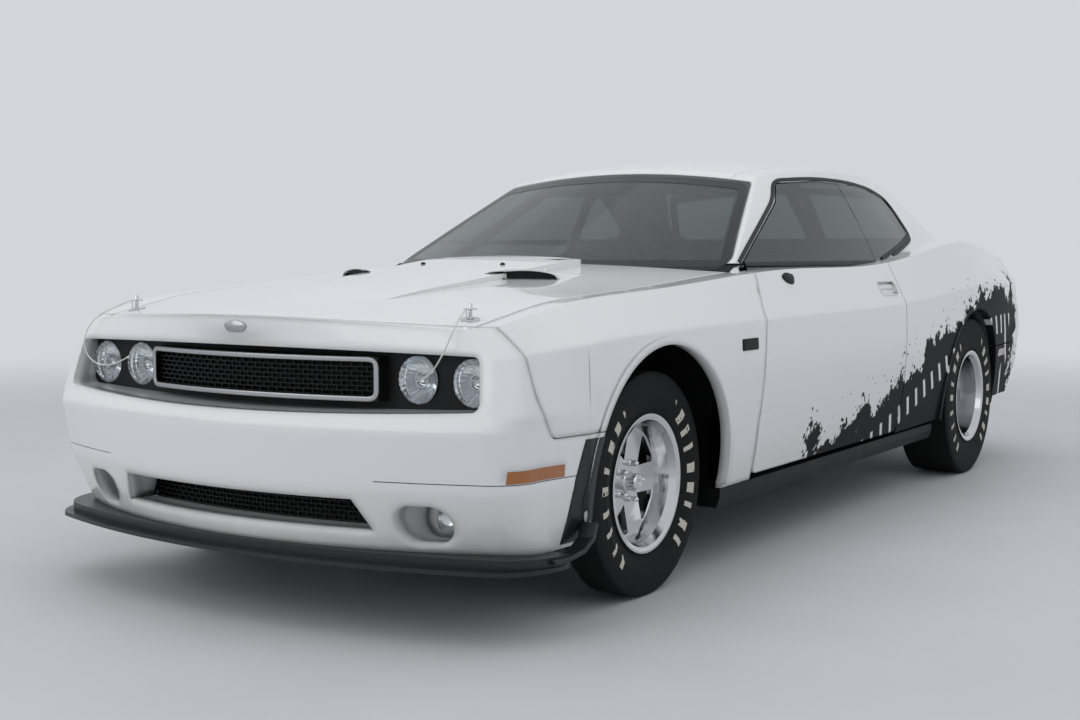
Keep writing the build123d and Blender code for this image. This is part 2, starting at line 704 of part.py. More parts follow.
def front_fascia():
    """Nose skin with its lamp recess, lower grille mouth and fog lamp cups."""
    region = shifted(FENDER_SEAM, PANEL_GAP / 2, -PANEL_GAP / 2)
    region = region + [(1560, 100), (2700, 100), (2700, 960)]
    nose = side_prism(region, -1100, 1100)
    skin = (SHELL & nose) - arch_cut(FRONT_ARCH_X, FRONT_ARCH_R)
    skin = skin - flip(arch_cut(FRONT_ARCH_X, FRONT_ARCH_R)) - HOOD_HOLE
    lip = arch_lip(FRONT_ARCH_X, FRONT_ARCH_R, BODY_SECTIONS[0:3]) & nose
    recess = front_recess()
    mouth = trapezoid(MOUTH_TOP, MOUTH_BOTTOM)
    lip = lip & box(FRONT_ARCH_X, 2100, 0, 1100, 0, 1000)
    skin = skin + lip + flip(lip)
    walls = end_prism(recess, RECESS_BACK_X, 2600, FASCIA_WALL) & OUTER
    walls = walls - end_prism(recess, RECESS_BACK_X - 10, 2700)
    mouth_wall = end_prism(mouth, MOUTH_BACK_X, 2600, FASCIA_WALL) & OUTER
    mouth_wall = mouth_wall - end_prism(mouth, MOUTH_BACK_X - 10, 2700)
    cup = end_prism(fog_face(FASCIA_WALL), FOG_BACK_X, 2600) & OUTER
    cup = cup - end_prism(fog_face(), FOG_BACK_X + FASCIA_WALL, 2700)
    skin = skin - end_prism(recess, 2100, 2700) - end_prism(mouth, 2100, 2700)
    for hole in (end_prism(fog_face(), 2100, 2700), flip(end_prism(fog_face(), 2100, 2700))):
        skin = skin - hole
    pocket = marker(*MARKER_FRONT, 0.0)
    skin = (skin - pocket) - flip(pocket)
    return skin + walls + mouth_wall + cup + flip(cup)


def lamp_panel():
    """The dark panel behind the grille, with a hole for each lamp."""
    slab = bowed_slab(LAMP_PANEL_X, LAMP_PANEL_BOW, LAMP_PANEL_THICK, 900, 500, 900)
    panel = slab & end_prism(front_recess(), 2000, 2600, -SEAT_GAP)
    for y, z in HEADLAMPS:
        hole = rod((2000, y, z), (2500, y, z), HEADLAMP_R + SEAT_GAP)
        panel = panel - hole - flip(hole)
    return panel


def headlamp(y, z):
    """One round lamp: a bowl with a domed lens."""
    x = LAMP_PANEL_X - (y ** 2) / (2 * LAMP_PANEL_BOW)
    r = HEADLAMP_R
    profile = Face(Wire([
        line((x - 70, y, z), (x + 14, y, z)),
        arc((x + 14, y, z), (x + 10, y + r * 0.6, z), (x, y + r, z)),
        line((x, y + r, z), (x - 24, y + r, z)),
        line((x - 24, y + r, z), (x - 70, y + r * 0.5, z)),
        line((x - 70, y + r * 0.5, z), (x - 70, y, z)),
    ]))
    return revolve(profile, axis=Axis((x, y, z), (1, 0, 0)))


def mesh_cells(y_reach, z, first):
    """One row of cell outlines about height z, cut short at the border."""
    cells = []
    high, wide = (MESH_PITCH_Z - MESH_BAR) / 2, (MESH_PITCH_Y - MESH_BAR) / 2
    count = int(2 * y_reach // MESH_PITCH_Y) + 2
    for k in range(-count, count + 1):
        mid = first + k * MESH_PITCH_Y
        y0, y1 = max(mid - wide, -y_reach), min(mid + wide, y_reach)
        if y1 - y0 > 2 * MESH_BAR:
            cells.append(Wire.make_polygon([
                (0, y0, z - high), (0, y1, z - high), (0, y1, z + high), (0, y0, z + high)]))
    return cells


def mesh_face(top, bottom, inset, border):
    """A plate's outline at x = 0, pierced by staggered rows of cells like laid bricks."""
    (yt, zt), (yb, zb) = top, bottom
    rows = int((zt - zb - 2 * border + MESH_BAR) // MESH_PITCH_Z)
    cells = []
    for row in range(rows):
        z = (zt + zb) / 2 + (row - (rows - 1) / 2) * MESH_PITCH_Z
        reach = yb + (yt - yb) * (z - zb) / (zt - zb) - border
        cells += mesh_cells(reach, z, MESH_PITCH_Y / 2 * (row % 2))
    outer = offset(trapezoid(top, bottom), -inset, kind=Kind.INTERSECTION).face().outer_wire()
    return Face(outer, cells)


def upper_grille():
    """The framed mesh between the lamps, bowed in plan."""
    face = trapezoid(GRILLE_TOP, GRILLE_BOTTOM)
    frame = end_prism(face, 2200, 2600) - end_prism(face, 2100, 2700, -GRILLE_FRAME)
    frame = frame & bowed_slab(GRILLE_X, GRILLE_BOW, GRILLE_DEPTH, 500, 500, 900)
    mesh = mesh_face(GRILLE_TOP, GRILLE_BOTTOM, GRILLE_FRAME / 2, GRILLE_FRAME)
    mesh = end_prism(mesh, 2200, 2600)
    mesh = mesh & bowed_slab(GRILLE_X - MESH_SETBACK, GRILLE_BOW, MESH_THICK, 500, 500, 900)
    foot = end_prism(face, 2200, 2600, -GRILLE_FRAME)
    foot = end_prism(face, 2200, 2600) - foot
    foot = foot & bowed_slab(GRILLE_X - GRILLE_DEPTH + 1, GRILLE_BOW, 60, 500, 500, 900)
    foot = foot - bowed_slab(LAMP_PANEL_X + SEAT_GAP, LAMP_PANEL_BOW, 200, 900, 400, 1000)
    return frame + mesh + foot


def lower_grille():
    """The same mesh at the back of the bumper's mouth."""
    plate = end_prism(mesh_face(MOUTH_TOP, MOUTH_BOTTOM, SEAT_GAP, MESH_BORDER), 2000, 2600)
    return plate & bowed_slab(MOUTH_MESH_X, MOUTH_MESH_BOW, MESH_THICK, 700, 200, 500)


def fog_lamp():
    """A round lamp in the outer part of its cup."""
    y, z = FOG_CENTRE
    y = y + FOG_OFFSET
    x = FOG_BACK_X + FASCIA_WALL + SEAT_GAP
    profile = Face(Wire([
        line((x, y, z), (x + 40, y, z)),
        arc((x + 40, y, z), (x + 37, y + FOG_R * 0.6, z), (x + 30, y + FOG_R, z)),
        line((x + 30, y + FOG_R, z), (x, y + FOG_R, z)),
        line((x, y + FOG_R, z), (x, y, z)),
    ]))
    return revolve(profile, axis=Axis((x, y, z), (1, 0, 0)))


def splitter_plan(tip, bend, corner, x_mid, z0, z1):
    """A prism over the blade's outline: straight back edge, curved ends, bowed front."""
    x, y = tip
    xc, yc = x + corner[0], y - corner[1]
    edges = [
        line((x, -y, 0), (x, y, 0)),
        arc((x, y, 0), (x + bend[0], y - bend[1], 0), (xc, yc, 0)),
        arc((xc, yc, 0), (x_mid, 0, 0), (xc, -yc, 0)),
        arc((xc, -yc, 0), (x + bend[0], -y + bend[1], 0), (x, -y, 0)),
    ]
    return plan_prism(edges, z0, z1)


def splitter():
    """The chin blade with the riser that joins it to the nose."""
    shape = (SPLITTER_TIP, SPLITTER_BEND, SPLITTER_CORNER, SPLITTER_X)
    top = SPLITTER_Z + SPLITTER_THICK
    blade = splitter_plan(*shape, SPLITTER_Z, top)
    x, y = SPLITTER_TIP
    (xt, yt), (xc, yc) = RISER_INNER_TIP, RISER_INNER_CORNER
    hollow = plan_prism([
        line((x + xt, yt - y, 0), (x + xt, y - yt, 0)),
        line((x + xt, y - yt, 0), (x + xc, y - yc, 0)),
        arc((x + xc, y - yc, 0), (RISER_INNER_X, 0, 0), (x + xc, yc - y, 0)),
        line((x + xc, yc - y, 0), (x + xt, yt - y, 0)),
    ], SPLITTER_Z - 1, CHIN_TOP_Z + 10)
    riser = splitter_plan(*shape, top, CHIN_TOP_Z - SEAT_GAP) - hollow
    return blade + (Pos(-RISER_SETBACK, 0, 0) * riser & splitter_plan(*shape, 0, 600))


def quarter():
    """Rear side panel fused with its roof rail and both roof pillars."""
    seam = shifted(TAIL_SEAM, 0, PANEL_GAP / 2)
    region = [(DOOR_REAR_X, DOOR_BOTTOM_Z - 20), (DOOR_REAR_X, 1180), (-2700, 1180)]
    region = region + seam + [(-1400, 200), (DOOR_REAR_X, 200)]
    panel = (SHELL & side_prism(region, 0, 1100)) - DECK_HOLE
    panel = panel - arch_cut(REAR_ARCH_X, REAR_ARCH_R)
    panel = panel - box(-3000, DOOR_REAR_X + 10, -10, QUARTER_INNER_Y, 0, 1300)
    panel = panel - box(-3000, -2000, -10, LAMP_BAND_Y, 0, 1300)
    lip = arch_lip(REAR_ARCH_X, REAR_ARCH_R, BODY_SECTIONS[4:8]) & side_prism(region, 0, 1100)
    return (panel - CABIN) + lip + quarter_side()


def side_glass_hole(grow):
    """The side window opening as a prism, grown or shrunk by a gap."""
    face = side_face(SIDE_GLASS)
    if grow:
        face = offset(face, grow, kind=Kind.INTERSECTION).face()
    return Pos(0, 300, 0) * extrude(face, 800, dir=(0, 1, 0))


def windshield_face():
    (yb, zb), (yt, zt) = WINDSHIELD
    face = Face(Wire([
        line((0, -yb, zb), (0, yb, zb)), line((0, yb, zb), (0, yt, zt)),
        arc((0, yt, zt), (0, 0, WINDSHIELD_TOP_Z), (0, -yt, zt)),
        line((0, -yt, zt), (0, -yb, zb)),
    ]))
    return face.fillet_2d(WINDOW_CORNER_R, face.vertices())


def rear_window_face():
    (yb, zb), (yt, zt) = REAR_WINDOW
    face = Face(Wire([
        line((0, -yb, zb), (0, yb, zb)), line((0, yb, zb), (0, yt, zt)),
        arc((0, yt, zt), (0, 0, REAR_WINDOW_TOP_Z), (0, -yt, zt)),
        line((0, -yt, zt), (0, -yb, zb)),
    ]))
    return face.fillet_2d(WINDOW_CORNER_R, face.vertices())


def roof_plan(grow):
    """The roof panel's outline between the two rails."""
    f, r = ROOF_FRONT, ROOF_REAR
    return plan_prism([
        line((f[0] + 400, f[1] - 60 + grow, 0), (r[0] - 400, r[1] + grow, 0)),
        line((r[0] - 400, r[1] + grow, 0), (r[0] - 400, -r[1] - grow, 0)),
        line((r[0] - 400, -r[1] - grow, 0), (f[0] + 400, -f[1] + 60 - grow, 0)),
        line((f[0] + 400, -f[1] + 60 - grow, 0), (f[0] + 400, f[1] - 60 + grow, 0)),
    ], 1180, 1500)


@functools.cache
def cabin_frame():
    """Pillars, roof and rails with the windows cut, before it is split."""
    frame = CABIN - CABIN_INNER
    door_side = side_prism([(760, 800), (735, 962), (DOOR_REAR_X, 966), (DOOR_REAR_X, 800)], 500, 1100)
    for hole in (side_glass_hole(0), door_side):
        frame = frame - hole - flip(hole)
    frame = frame - end_prism(windshield_face(), -60, 1200)
    frame = frame - end_prism(rear_window_face(), -1900, -980)
    return frame


def roof():
    return cabin_frame() & roof_plan(0)


@functools.cache
def cabin_sides():
    return cabin_frame() - roof_plan(SEAT_GAP)


@functools.cache
def top_skin(thick):
    """The hood's and decklid's sheet: the body less itself lowered by thick."""
    return OUTER - Pos(0, 0, -thick) * OUTER


def hood():
    """The front lid with its raised centre, two air slots and hinge lugs."""
    panel = top_skin(HOOD_SKIN) & plan_prism(hood_plan(0), 760, 1200)
    bulge = hood_bulge()
    panel = panel + (bulge - Pos(0, 0, -HOOD_SKIN / 2) * OUTER)
    reach = HOOD_EAR_REACH
    for side in (-1, 1):
        y = side * HOOD_HINGE_Y
        arm = box(HOOD_HINGE_X + LID_PIN_R + 1, HOOD_HINGE_X + reach, y - LID_EAR / 2,
                  y + LID_EAR / 2, HOOD_HINGE_Z - LID_LUG_R, HOOD_HINGE_Z + LID_LUG_R)
        riser = box(HOOD_HINGE_X + reach - HOOD_EAR_RISER, HOOD_HINGE_X + reach,
                    y - LID_EAR / 2, y + LID_EAR / 2, HOOD_HINGE_Z, 1100)
        panel = panel + hinge_lug(HOOD_HINGE_X, y, HOOD_HINGE_Z, 0, HOOD_HINGE_Z + LID_LUG_R)
        panel = panel + arm + (riser & (Pos(0, 0, -HOOD_SKIN / 2) * OUTER))
        slot = box(SCOOP_X, SCOOP_X + SCOOP_LENGTH, side * SCOOP_Y - SCOOP_HALF,
                   side * SCOOP_Y + SCOOP_HALF, SCOOP_Z, SCOOP_Z + SCOOP_HEIGHT)
        panel = panel - slot
    panel = (panel - hood_post_hole()) - flip(hood_post_hole())
    return panel


def hood_bulge():
    """The raised centre of the hood, highest at its rear edge."""
    wires = []
    for x, half, z in HOOD_BULGE:
        wires.append(Wire([
            line((x, -half, 700), (x, half, 700)),
            line((x, half, 700), (x, half - 24, z - 12)),
            arc((x, half - 24, z - 12), (x, 0, z), (x, 24 - half, z - 12)),
            line((x, 24 - half, z - 12), (x, -half, 700)),
        ]))
    return Solid.make_loft(wires, True)


def hinge_lug(x, y, z, sink, top=None):
    """A lid's hinge ear with its bore, reaching up to top or into the sheet."""
    half = LID_EAR / 2
    ear = rod((x, y - half, z), (x, y + half, z), LID_LUG_R)
    ear = ear + box(x - LID_LUG_R, x + LID_LUG_R, y - half, y + half, z, top or z + 80)
    ear = ear & (Pos(0, 0, -sink) * OUTER)
    return ear - rod((x, y - LID_EAR, z), (x, y + LID_EAR, z), LID_PIN_R + RUNNING_CLEARANCE)


def lid_pins(x, y, z, foot_z):
    """Two uprights on the body, each with a pin through a lid's ear."""
    inner = y - LID_EAR / 2 - LID_EAR_GAP
    upright = box(x - LID_LUG_R, x + LID_LUG_R, inner - LID_EAR, inner, foot_z, z + LID_LUG_R)
    upright = upright + rod((x, inner - 1, z), (x, y + LID_EAR, z), LID_PIN_R)
    return upright + flip(upright)


def decklid():
    """The rear lid: a thin sheet, its inner stiffener and its hinge ears."""
    panel = top_skin(DECK_SHEET) & plan_prism(deck_plan(0), 860, 1200)
    inner = top_skin(DECK_STIFFENER) & plan_prism(deck_plan(-DECK_STIFFENER_INSET), 860, 1200)
    clear = box(DECK_HINGE_X - 40, DECK_HINGE_X + 40, DECK_HINGE_Y - 60, DECK_HINGE_Y + 40, 800, 1200)
    panel = panel + ((inner - clear) - flip(clear))
    for side in (-1, 1):
        panel = panel + hinge_lug(DECK_HINGE_X, side * DECK_HINGE_Y, DECK_HINGE_Z, DECK_SHEET / 2)
    return panel


def door_outline(grow):
    """The door's outline in side view, shrunk from its opening by grow."""
    rear = DOOR_REAR_X + DOOR_REAR_GAP + grow
    front = shifted(DOOR_FRONT_EDGE, -grow, 0)
    front[0] = (front[0][0], front[0][1] + grow, 30)
    return [(rear, DOOR_BOTTOM_Z + grow, 30)] + front + [(front[-1][0], 1100), (rear, 1100)]


def door():
    """One door: skin, inner box, hinge pockets with their pins."""
    skin = OUTER - fused_body(DOOR_SKIN)
    skin = skin & side_prism(door_outline(0), DOOR_TOP_INNER_Y, 1100)
    inner = OUTER & side_prism(door_outline(DOOR_FLANGE), DOOR_DEPTH_Y, 1100)
    inner = inner - box(-3000, 3000, 0, 1100, DOOR_BOX_TOP_Z, 1300)
    inner = inner - box(DOOR_HINGE_X - DOOR_BOX_FRONT, 1100, 0, 1100, 0, 1300)
    panel = (skin + inner) - cabin_body(-SEAT_GAP)
    for z in DOOR_HINGE_ZS:
        half = HINGE_LENGTH / 2 + 3
        pocket = box(DOOR_HINGE_X - 14, 1100, 700, DOOR_HINGE_Y + HINGE_BARREL_R + 1.3,
                     z - half, z + half)
        pin = rod((DOOR_HINGE_X, DOOR_HINGE_Y, z - half - 4),
                  (DOOR_HINGE_X, DOOR_HINGE_Y, z + half + 4), HINGE_PIN_R)
        panel = (panel - pocket) + pin
    x, z, long, high = HANDLE
    grip = box(x, x + long, 0, 1100, z, z + high)
    panel = panel - (grip & (OUTER - fused_body(HANDLE_DEPTH)))
    return panel


def hinge_arms():
    """The body's half of the left door hinges: from the pin inwards, then to the pillar."""
    x, y, r = DOOR_HINGE_X, DOOR_HINGE_Y, HINGE_BARREL_R
    back = y - HINGE_REACH
    arms = []
    for z in DOOR_HINGE_ZS:
        z0, z1 = z - HINGE_LENGTH / 2, z + HINGE_LENGTH / 2
        arm = box(x - r, x + r, back, y, z0, z1) + rod((x, y, z0), (x, y, z1), r)
        arm = arm + box(x, POST_X + POST_WIDTH, back, back + HINGE_BAR, z0, z1)
        arm = arm + box(HINGE_PAD_X, POST_X + POST_WIDTH, back, HINGE_PAD_Y, z0, z1)
        arms.append(arm - rod((x, y, z0 - 1), (x, y, z1 + 1), HINGE_PIN_R + RUNNING_CLEARANCE))
    return arms[0] + arms[1]


@functools.cache
def glass_sheet():
    return CABIN - cabin_body(GLASS)


def side_glass(front):
    """The left door's or quarter's glass, cut from the curved sheet."""
    sheet = glass_sheet() & side_glass_hole(-GLASS_EDGE)
    if front:
        sheet = glass_sheet() & side_glass_hole(-DOOR_GLASS_GAP)
        rear, foot = DOOR_REAR_X + DOOR_REAR_GAP, DOOR_BOX_TOP_Z + SEAT_GAP
        lower = side_prism([(680, foot), (680, 980), (rear, 980), (rear, foot)], 500, 1100)
        sheet = sheet + (glass_sheet() & lower)
        return sheet & box(GLASS_SPLIT_X + DOOR_GLASS_GAP, 900, 300, 1100, 900, 1500)
    return sheet & box(-1100, GLASS_SPLIT_X, 300, 1100, 900, 1500)


def windshield():
    return glass_sheet() & end_prism(windshield_face(), -60, 1200, -SEAT_GAP)


def rear_glass():
    return glass_sheet() & end_prism(rear_window_face(), -1900, -980, -SEAT_GAP)


def cowl():
    """The black panel between the hood and the windshield's foot."""
    base = cabin_sides() & box(300, 1200, -COWL_HALF, COWL_HALF, 880, 975)
    plate = plan_prism([
        arc((860, -COWL_HALF, 0), (1010, 0, 0), (860, COWL_HALF, 0)),
        line((860, COWL_HALF, 0), (COWL_REAR_X, COWL_HALF, 0)),
        line((COWL_REAR_X, COWL_HALF, 0), (COWL_REAR_X, -COWL_HALF, 0)),
        line((COWL_REAR_X, -COWL_HALF, 0), (860, -COWL_HALF, 0)),
    ], COWL_Z - 12, COWL_Z)
    pins = lid_pins(HOOD_HINGE_X, HOOD_HINGE_Y, HOOD_HINGE_Z, COWL_Z - 2)
    base = base - box(300, 1300, -900, 900, 0, COWL_Z) - hinge_pocket() - flip(hinge_pocket())
    return base + plate + pins


def hinge_pocket():
    """The room round the hood's left hinge, under the windshield's corner."""
    return box(*HINGE_POCKET, COWL_Z - 100, HINGE_POCKET_TOP)


def rear_deck_panel():
    """The fixed panel between the rear glass and the decklid."""
    y = QUARTER_INNER_Y - SEAT_GAP
    shelf = top_skin(DECK_SHEET) & box(SHELF_PANEL_REAR_X, -1330, -y, y, 800, 1200)
    shelf = (shelf - DECK_HOLE) - CABIN
    base = cabin_sides() & box(-1900, -1300, -y, y, 960, 1100)
    pins = lid_pins(DECK_HINGE_X, DECK_HINGE_Y, DECK_HINGE_Z, DECK_BRACKET_Z)
    inner = DECK_HINGE_Y - LID_EAR / 2 - LID_EAR_GAP
    front = DECK_FRONT_CORNER_X + DECK_WEB_REACH
    arm = box(DECK_HINGE_X, front, inner - LID_EAR, inner, DECK_BRACKET_Z, DECK_BRACKET_Z + 12)
    web = box(front - 12, front, inner - LID_EAR, inner, DECK_BRACKET_Z, 1200)
    arm = arm + (web & (Pos(0, 0, -DECK_SHEET / 2) * OUTER))
    return shelf + base + arm + flip(arm) + pins


def quarter_side():
    """The left quarter panel fused with its pillars and roof rail."""
    y = QUARTER_INNER_Y
    pillars = cabin_sides() & HALF
    pillars = pillars - box(300, 1300, 0, COWL_HALF + SEAT_GAP, 0, 980)
    pillars = pillars - box(-1900, -1290, 0, y, 0, 1110)
    return pillars - hinge_pocket()


def tail_panel():
    """The tail's upright panel with the lamp band's recess, and the decklid's side strips."""
    y = LAMP_BAND_Y - SEAT_GAP
    front, foot = SHELF_PANEL_REAR_X - SEAT_GAP, TAIL_SEAM[0][1] + PANEL_GAP / 2
    panel = (SHELL & box(-2600, front, -y, y, foot, 1100)) - DECK_HOLE
    z0, z1 = TAIL_LAMP_Z
    return panel - box(-2600, -2100, -TAIL_LAMP_Y, TAIL_LAMP_Y, z0, z1)


def tail_lamps():
    """The lamp band that fills the tail panel's slot."""
    z0, z1 = TAIL_LAMP_Z
    y = TAIL_LAMP_Y - SEAT_GAP
    band = OUTER & box(-2600, -2150, -y, y, z0 + SEAT_GAP, z1 - SEAT_GAP)
    return band - (Pos(TAIL_LAMP_DEPTH, 0, 0) * OUTER)


def rear_fascia():
    """The rear bumper skin, open above the exhaust pipes."""
    region = shifted(TAIL_SEAM, 0, -PANEL_GAP / 2) + [(-1400, 100), (-2700, 100)]
    skin = SHELL & side_prism(region, -1100, 1100)
    cut = arch_cut(REAR_ARCH_X, REAR_ARCH_R)
    skin = skin - cut - flip(cut)
    lip = arch_lip(REAR_ARCH_X, REAR_ARCH_R, BODY_SECTIONS[4:8])
    lip = lip & side_prism(region, -1100, 1100)
    notch = box(-2600, -2300, TAIL_PIPE_Y - 110, TAIL_PIPE_Y + 110, 200, 380)
    pocket = marker(*MARKER_REAR, 0.0)
    return (skin + lip + flip(lip)) - notch - flip(notch) - pocket - flip(pocket)


def sills():
    """The black rocker boxes under the doors."""
    x0, x1 = REAR_ARCH_X + REAR_ARCH_R + 6, FRONT_ARCH_X - FRONT_ARCH_R - 6
    inner = FLOOR_HALF + SEAT_GAP
    web = inner + SILL_WEB
    profile = Face(Wire.make_polygon([(0, inner, SILL_Z), (0, 872, SILL_Z), (0, 884, 240),
                                      (0, 884, SILL_TOP_Z), (0, web, SILL_TOP_Z),
                                      (0, web, SILL_WEB_Z), (0, inner, SILL_WEB_Z)]))
    left = Pos(x0, 0, 0) * extrude(profile, x1 - x0, dir=(1, 0, 0))
    return both(left - box(x0, x0 + 40, 700, 1000, 300, 600) - box(x1 - 40, x1, 700, 1000, 300, 600))


def floor_pan():
    """Cabin floor, tunnel, firewall, rear bulkhead, trunk and the tail's brackets."""
    t = FLOOR_THICK
    z, h = FLOOR_Z, FLOOR_HALF
    rear, front = REAR_BULKHEAD_X, FIREWALL_X
    half, top = TUNNEL_HALF, TUNNEL_Z
    pan = box(rear, front, -h, h, z, z + t) + box(rear, front, -half, half, z, top)
    pan = pan + box(front, front + t, -h, h, z, FIREWALL_TOP_Z)
    pan = pan + box(rear - t, rear, -TUB_INNER_Y, TUB_INNER_Y, z, TRUNK_Z + t)
    pan = pan + box(TRUNK_REAR_X, rear, -TUB_INNER_Y, TUB_INNER_Y, TRUNK_Z, TRUNK_Z + t)
    wall = box(TRUNK_REAR_X - t, TRUNK_REAR_X, -TAIL_LAMP_Y, TAIL_LAMP_Y, TRUNK_Z - 160, 740)
    pan = pan + (wall & SEAT_BODY)
    bracket = box(-2480, TRUNK_REAR_X - 1, 300, 330, 430, 780) & SEAT_BODY
    pan = pan + bracket + flip(bracket)
    return pan - box(rear - t - 1, front + t + 1, t - half, half - t, z - 1, top - t)


def rear_tubs():
    """The rear wheel housings, from the trunk's side to the quarter panel."""
    r = REAR_ARCH_R - LINER_GAP
    tub = across(REAR_ARCH_X, r, TUB_INNER_Y + SEAT_GAP, 900)
    tub = tub - across(REAR_ARCH_X, r - LINER_THICK, TUB_INNER_Y + SEAT_GAP + LINER_THICK, 1000)
    tub = tub & box(-2000, -900, 600, 1000, TRUNK_Z, 1000)
    return both(tub & SEAT_BODY)


def frame_rails():
    """The front rails, aprons and shelves, the radiator beam and the bumper stays."""
    y, w = RAIL_Y, RAIL_WIDTH
    wall = FIREWALL_X + FLOOR_THICK + SEAT_GAP
    rail = box(wall, RAIL_FRONT_X, y - w / 2, y + w / 2, RAIL_Z, RAIL_TOP_Z)
    apron = box(wall, 2160, LINER_INNER_Y - 5, LINER_INNER_Y, RAIL_TOP_Z - 6, SHELF_Z)
    web = box(wall, 2160, y, LINER_INNER_Y, RAIL_TOP_Z - 6, RAIL_TOP_Z)
    shelf = box(wall, SHELF_FRONT_X, LINER_INNER_Y - 5, 900, SHELF_Z, SHELF_Z + 6) & SEAT_BODY
    stay = box(RAIL_FRONT_X - 20, 2520, y - 10, y + 10, 385, 520) & SEAT_BODY
    foot = box(RAIL_FRONT_X - 20, RAIL_FRONT_X, y - 10, y + 10, RAIL_TOP_Z - 10, 400)
    left = rail + apron + web + shelf + stay + foot
    beam = box(RAIL_FRONT_X - 80, RAIL_FRONT_X, -y, y, RAIL_Z, RAIL_TOP_Z)
    return left + flip(left) + beam + hood_posts()


def hinge_posts():
    """The front door pillars with their hinge arms."""
    inner = FLOOR_HALF + SILL_WEB + 2 * SEAT_GAP
    post = box(POST_X, POST_X + POST_WIDTH, inner, POST_OUTER_Y, SILL_TOP_Z + SEAT_GAP, 880)
    return both((post & SEAT_BODY) + hinge_arms())


def spin(points, centre, side=1):
    """A ring about the wheel's axle from (y outboard of the wheel's middle, radius) points."""
    x, y, z = centre
    face = Face(Wire.make_polygon([(x, y + side * p[0], z + p[1]) for p in points]))
    return revolve(face, axis=Axis((x, y, z), (0, 1, 0)))


def tyre(centre, radius, width, rim_width):
    """A tyre's carcass with its tread, shoulders, side walls and beads."""
    h = width / 2
    s = h - 8
    mid = (radius + BEAD_R) / 2
    bead = rim_width / 2 - RIM_FLANGE - SEAT_GAP
    inner = bead - BEAD_WIDTH
    seat = BEAD_R + BEAD_RISE + 2 * SEAT_GAP
    points = [(-s, radius - 3), (0, radius), (s, radius - 3), (h - 3, radius - 12),
              (h, radius - 34), (h, mid), (bead + 6, RIM_R + 16), (bead, RIM_R + 6),
              (bead, seat), (inner, seat - BEAD_RISE * BEAD_WIDTH / BEAD_SEAT),
              (inner, RIM_R + 10), (h - 16, mid), (h - 16, radius - 30), (0, radius - 14)]
    left = [(-p[0], p[1]) for p in reversed(points[3:-1])]
    return spin(points + left, centre)


def rim(centre, width, depth, spoke_r):
    """A five-spoke wheel: barrel with its stepped lip, spokes, hub and stud holes."""
    h = width / 2
    w = RIM_WALL
    flange = h - RIM_FLANGE
    seat = flange - BEAD_SEAT
    barrel = spin([
        (-h, RIM_R), (-flange, RIM_R), (-flange, BEAD_R + BEAD_RISE), (-seat, BEAD_R),
        (seat, BEAD_R), (flange, BEAD_R + BEAD_RISE), (flange, RIM_R), (h, RIM_R),
        (h, RIM_R - w), (h - 4, BEAD_R),
        (h - 26, BEAD_R - w - 4), (h - depth + 14, BEAD_R - w - 14),
        (h - depth, BEAD_R - w - 18), (-h + 30, BEAD_R - w), (-h + 4, BEAD_R - 2),
    ], centre)
    x, y, z = centre
    face_y = h - depth
    disc = spin([
        (face_y, HUB_BORE_R), (face_y, BEAD_R - w - 14), (face_y - SPOKE_THICK, BEAD_R - w - 14),
        (face_y - SPOKE_THICK, 84), (face_y - SPOKE_THICK - HUB_PAD, 80),
        (face_y - SPOKE_THICK - HUB_PAD, HUB_BORE_R),
    ], centre)
    plane = Plane((x, y, z), x_dir=(1, 0, 0), z_dir=(0, -1, 0))
    window = Pos(spoke_r, 0) * Face(Wire.make_polygon([(*p, 0) for p in WHEEL_WINDOW]))
    stud = Pos(STUD_CIRCLE_R, 0) * Circle(STUD_R)
    turns = [Rot(0, 0, 360 * k / SPOKES) for k in range(SPOKES)]
    for turn in turns:
        disc = disc - extrude(plane * turn * window, DISC_R, both=True)
    back = face_y - SPOKE_THICK - HUB_PAD
    rotor = spin([
        (back + 1, HUB_BORE_R), (back + 1, DISC_HAT_R), (back - DISC_HAT, DISC_HAT_R),
        (back - DISC_HAT, DISC_R), (back - DISC_HAT - DISC_THICK, DISC_R),
        (back - DISC_HAT - DISC_THICK, HUB_BORE_R),
    ], centre)
    wheel = barrel + disc + rotor
    for turn in turns:
        wheel = wheel - extrude(plane * turn * Rot(0, 0, 180 / SPOKES) * stud, DISC_R, both=True)
    return wheel


def tyre_front():
    return tyre(FRONT_WHEEL, FRONT_TYRE_R, FRONT_TYRE_WIDTH, FRONT_RIM_WIDTH)


def tyre_rear():
    return tyre(REAR_WHEEL, REAR_TYRE_R, REAR_TYRE_WIDTH, REAR_RIM_WIDTH)


def rim_front():
    return rim(FRONT_WHEEL, FRONT_RIM_WIDTH, FRONT_FACE_DEPTH, WINDOW_CENTRE_R)


def rim_rear():
    return rim(REAR_WHEEL, REAR_RIM_WIDTH, REAR_FACE_DEPTH, WINDOW_CENTRE_R)


def spindle(x, z, from_y):
    """A wheel's spindle with the flange that its hub runs against."""
    flange = rod((x, from_y, z), (x, DISC_BACK_Y - SEAT_GAP, z), 50)
    return flange + rod((x, from_y, z), (x, HUB_BACK_Y + SPINDLE_LENGTH, z),
                        HUB_BORE_R - RUNNING_CLEARANCE)


def caliper(x, z, arm_x):
    """A brake caliper round the disc's rear edge, on an arm from the hub."""
    slot = box(x - 170, x, DISC_BACK_Y - 4, DISC_BACK_Y + DISC_THICK + 4, z - 60, z + 60)
    block = box(x - 150, x - 96, DISC_BACK_Y - 16, DISC_BACK_Y + DISC_THICK + 10, z - 42, z + 42)
    rim_side = box(x - 150, x - DISC_R - 4, DISC_BACK_Y - 8, DISC_BACK_Y + DISC_THICK + 8, z - 42, z + 42)
    arm = box(x - 110, x - arm_x, DISC_BACK_Y - 16, DISC_BACK_Y - 8, z - 22, z + 22)
    return (block - slot) + rim_side + arm


